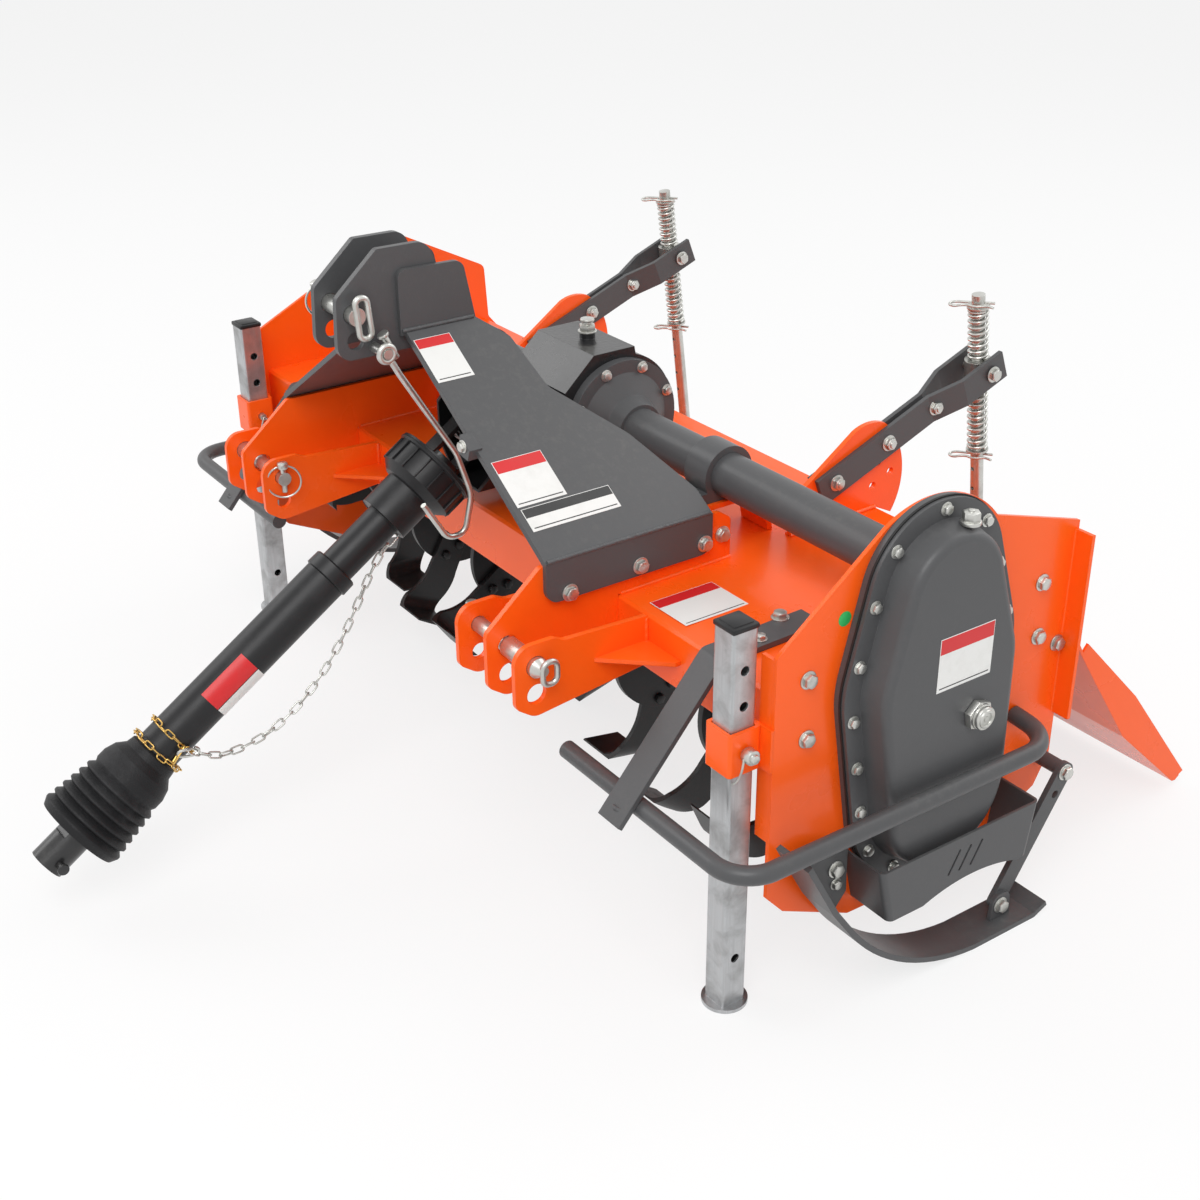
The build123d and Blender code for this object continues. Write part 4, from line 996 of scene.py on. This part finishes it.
class ShaftTrim(bpy.types.Operator):
    """Neck chains, snap hook, collar, label and ribs of the power shaft's guard."""

    bl_idname = "tiller.shaft_trim"
    bl_label = "Power shaft trim"

    def execute(self, context):
        place = shaft_frame()
        for name, along, radius, count in (("neck_chain", 633, 40.5, 20), ("tube_chain", 603, 36.5, 18)):
            places = []
            for k in range(count):
                angle = 2 * pi * k / count
                spot = place @ Vector((radius * cos(angle), radius * sin(angle), along + 1.6 * sin(2.3 * k)))
                tangent = place.to_3x3() @ Vector((-sin(angle), cos(angle), 0))
                places.append(lying(spot, tangent, radians(45 if k % 2 else -45)))
            span = 2 * pi * radius / count
            plated(name, link(span + 4.6, 9.0, 2.2), places, "drive_outer", "yellow plating")
        long_link = lying(on_shaft(38, 616, 4), SHAFT + Vector((0.1, 0, -0.3)), 0.4)
        hook = [
            painted(set_out("Long link", link(34, 13, 3.2), [long_link]), "yellow plating"),
            painted(wire([on_shaft(*step) for step in HOOK_BEND], 2.2), "bright zinc"),
        ]
        finished(joined("snap_hook", hook), "drive_outer")
        shaft_turned("guard_collar", COLLAR_PROFILE, "drive_outer")
        shaft_turned("bell_rim", RIM_PROFILE, "drive_inner")
        rib = block((2.6, 5, 36), (0, 62.6, 86), bevel=0.8)
        ribs = [place @ Matrix.Rotation(2 * pi * k / 16, 4, "Z") for k in range(16)]
        finished(set_out("bell_ribs", rib, ribs), "drive_inner", "smooth black plastic")
        patch = []
        for low, high, finish in ((126, 184, "label red"), (185, 238, "label white")):
            deselect_all()
            bpy.ops.mesh.primitive_cylinder_add(
                vertices=120, radius=0.0332, depth=0.080, end_fill_type="NOTHING", location=(0, 0, 0.4935))
            bpy.ops.object.transform_apply(location=True, rotation=False, scale=False)
            start_edit("SELECT", "FACE")
            select_faces(lambda centre, normal: not low < degrees(atan2(centre.y, centre.x)) % 360 < high)
            bpy.ops.mesh.delete(type="FACE")
            part = end_edit()
            skin = part.modifiers.new("Skin", "SOLIDIFY")
            skin.thickness = 0.0005
            skin.offset = 1
            bpy.ops.object.modifier_apply(modifier=skin.name)
            patch.append(painted(moved(part, place), finish))
        finished(joined("tube_label", patch), "drive_outer")
        catch = joined("Catch", [
            round_bar(6, 14, bevel=1.5, at=(0, 0, 24)),
            round_bar(8.5, 5, bevel=1.8, at=(0, 0, 36)),
        ])
        catch = set_out("yoke_catch", catch, [standing(on_shaft(0, 835, 0), (1, 0, 0))])
        finished(catch, "drive_outer", "black cast gloss")
        return {"FINISHED"}


# ------------------------------------------------------------------ welds
# Runs of weld on the +X side; the other side mirrors them
ORANGE_WELDS = (
    ((376, 236, 464.5), (376, 400, 467.5)), ((384, 236, 464.5), (384, 400, 467.5)),
    ((372, -60, 459.5), (372, 128, 461.5)), ((380, -60, 459.5), (380, 128, 461.5)),
    ((299, -66, 386), (299, -66, 454)), ((439.5, -66, 386), (439.5, -66, 454)),
    ((447.5, -66, 386), (447.5, -66, 454)),
    ((290, 76, 462.0), (346, 76, 462.0)), ((290, 231, 464.5), (346, 231, 464.5)),
)
GREY_WELDS = (
    ((580, -214, 291), (592, -220, 294), (604, -214, 291)), ((46, -188, 763), (46, -75, 763)),
    ((386, -180, 542), (386, 86, 542)), ((751, -60, 236), (751, -36, 188), (751, 4, 130)),
)


class Welds(bpy.types.Operator):
    """Weld beads where the plates meet."""

    bl_idname = "tiller.welds"
    bl_label = "Weld beads"

    def execute(self, context):
        radius = context.scene.tiller_sizes.weld_width * 1000
        for runs, colour in ((ORANGE_WELDS, "orange"), (GREY_WELDS, "grey")):
            beads = [wire([(side * x, y, z) for x, y, z in run], radius, smooth=False)
                     for run in runs for _, side in SIDES]
            piece = joined(f"welds_{colour}", beads)
            finished(piece, "base", f"weld bead {colour}", angle=60)
        return {"FINISHED"}


# ------------------------------------------------------------------ studio
FLOOR_WHITE = 0.77          # share of plain white in the floor as the camera and mirrors see it
WORLD_LIGHT = 0.62          # strength of the world as a light
# Soft lights: name, place, size, power
LIGHTS = (
    ("key light", (2.6, -2.2, 4.2), 3.2, 130.0),
    ("left light", (-3.6, -2.4, 3.4), 3.4, 70.0),
    ("rear light", (0.6, 3.8, 3.6), 3.6, 60.0),
)
LIGHT_TARGET = Vector((0, 0.1, 0.4))
CAMERA_PLACE = (2.0119, -1.2192, 1.4961)
CAMERA_AZIMUTH = radians(55.407)
CAMERA_ELEVATION = radians(27.599)
CAMERA_ROLL = radians(-0.579)


def cleared(owner):
    """The empty node tree of a material or a world."""
    owner.use_nodes = True
    owner.node_tree.nodes.clear()
    return owner.node_tree


def mixed_for_view(tree, share, lit, seen, output):
    """Shows one shader to the camera, mirrors and glass, by a share, and the other to all light."""
    path = add(tree, "ShaderNodeLightPath")
    mirrored = calculate(tree, "MAXIMUM", path.outputs["Is Glossy Ray"], path.outputs["Is Transmission Ray"])
    direct = calculate(tree, "MAXIMUM", path.outputs["Is Camera Ray"], mirrored)
    mix = add(tree, "ShaderNodeMixShader")
    tree.links.new(calculate(tree, "MULTIPLY", direct, share), mix.inputs[0])
    tree.links.new(lit.outputs[0], mix.inputs[1])
    tree.links.new(seen.outputs[0], mix.inputs[2])
    tree.links.new(mix.outputs[0], output.inputs[0])


class Studio(bpy.types.Operator):
    """Floor, soft lights, world and camera."""

    bl_idname = "tiller.studio"
    bl_label = "Studio"

    def execute(self, context):
        deselect_all()
        bpy.ops.mesh.primitive_plane_add(size=60)
        floor = context.object
        floor.name = "studio_floor"
        material = bpy.data.materials.new("studio floor")
        tree = cleared(material)
        output = add(tree, "ShaderNodeOutputMaterial")
        matt = add(tree, "ShaderNodeBsdfDiffuse")
        matt.inputs["Color"].default_value = (0.86, 0.86, 0.86, 1)
        mixed_for_view(tree, FLOOR_WHITE, matt, add(tree, "ShaderNodeEmission"), output)
        floor.data.materials.append(material)

        world = bpy.data.worlds.new("Studio world")
        context.scene.world = world
        tree = cleared(world)
        output = add(tree, "ShaderNodeOutputWorld")
        dim = add(tree, "ShaderNodeBackground")
        dim.inputs["Color"].default_value = (1, 1, 1, 1)
        dim.inputs["Strength"].default_value = WORLD_LIGHT
        white = add(tree, "ShaderNodeBackground")
        white.inputs["Color"].default_value = (1, 1, 1, 1)
        mixed_for_view(tree, 1.0, dim, white, output)

        for name, place, size, power in LIGHTS:
            deselect_all()
            bpy.ops.object.light_add(type="AREA", location=place)
            lamp = context.object
            lamp.name = name
            lamp.data.shape = "DISK"
            lamp.data.size = size
            lamp.data.energy = power
            lamp.rotation_euler = (LIGHT_TARGET - Vector(place)).to_track_quat("-Z", "Y").to_euler()

        right = Vector((cos(CAMERA_AZIMUTH), sin(CAMERA_AZIMUTH), 0))
        level = cos(CAMERA_ELEVATION)
        back = Vector((sin(CAMERA_AZIMUTH) * level, -cos(CAMERA_AZIMUTH) * level, sin(CAMERA_ELEVATION)))
        up = back.cross(right)
        tilted_right = right * cos(CAMERA_ROLL) + up * sin(CAMERA_ROLL)
        tilted_up = up * cos(CAMERA_ROLL) - right * sin(CAMERA_ROLL)
        deselect_all()
        bpy.ops.object.camera_add()
        camera = context.object
        camera.data.lens = 50.157
        camera.data.sensor_width = 36
        camera.data.clip_end = 200
        turn = Matrix((tilted_right, tilted_up, back)).transposed().to_4x4()
        camera.matrix_world = Matrix.Translation(CAMERA_PLACE) @ turn
        context.scene.camera = camera
        context.scene.view_settings.view_transform = "Standard"
        return {"FINISHED"}


class TillerPanel(bpy.types.Panel):
    """Sizes, colours and the pieces in the order they are built."""

    bl_idname = "VIEW3D_PT_tiller"
    bl_label = "Rotavator"
    bl_space_type = "VIEW_3D"
    bl_region_type = "UI"
    bl_category = "Rotavator"

    def draw(self, context):
        layout = self.layout
        for group in (context.scene.tiller_sizes, context.scene.tiller_colours):
            for key in group.bl_rna.properties.keys():
                if key not in ("rna_type", "name"):
                    layout.prop(group, key)
        for operator in OPERATORS:
            layout.operator(operator.bl_idname)


OPERATORS = (Studio, FinishNodes, GuardChain, LiftSprings, RodClips, LinchPins, StandDetails, FrameBolts,
             CaseDetails, Breather, TineBolts, ShaftTrim, Labels, Welds)
CLASSES = (TillerSizes, TillerColours, *OPERATORS, TillerPanel)


def register():
    for item in CLASSES:
        bpy.utils.register_class(item)
    bpy.types.Scene.tiller_sizes = bpy.props.PointerProperty(type=TillerSizes)
    bpy.types.Scene.tiller_colours = bpy.props.PointerProperty(type=TillerColours)


def unregister():
    del bpy.types.Scene.tiller_colours
    del bpy.types.Scene.tiller_sizes
    for item in reversed(CLASSES):
        bpy.utils.unregister_class(item)


def main():
    """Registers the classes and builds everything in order."""
    register()
    bpy.ops.tiller.studio()
    bpy.ops.tiller.finishes()
    bpy.ops.tiller.guard_chain()
    bpy.ops.tiller.lift_springs()
    bpy.ops.tiller.rod_clips()
    bpy.ops.tiller.linch_pins()
    bpy.ops.tiller.stand_details()
    bpy.ops.tiller.frame_bolts()
    bpy.ops.tiller.case_details()
    bpy.ops.tiller.breather()
    bpy.ops.tiller.tine_bolts()
    bpy.ops.tiller.shaft_trim()
    bpy.ops.tiller.labels()
    bpy.ops.tiller.welds()
    bpy.context.view_layer.update()


if __name__ == "__main__":
    main()
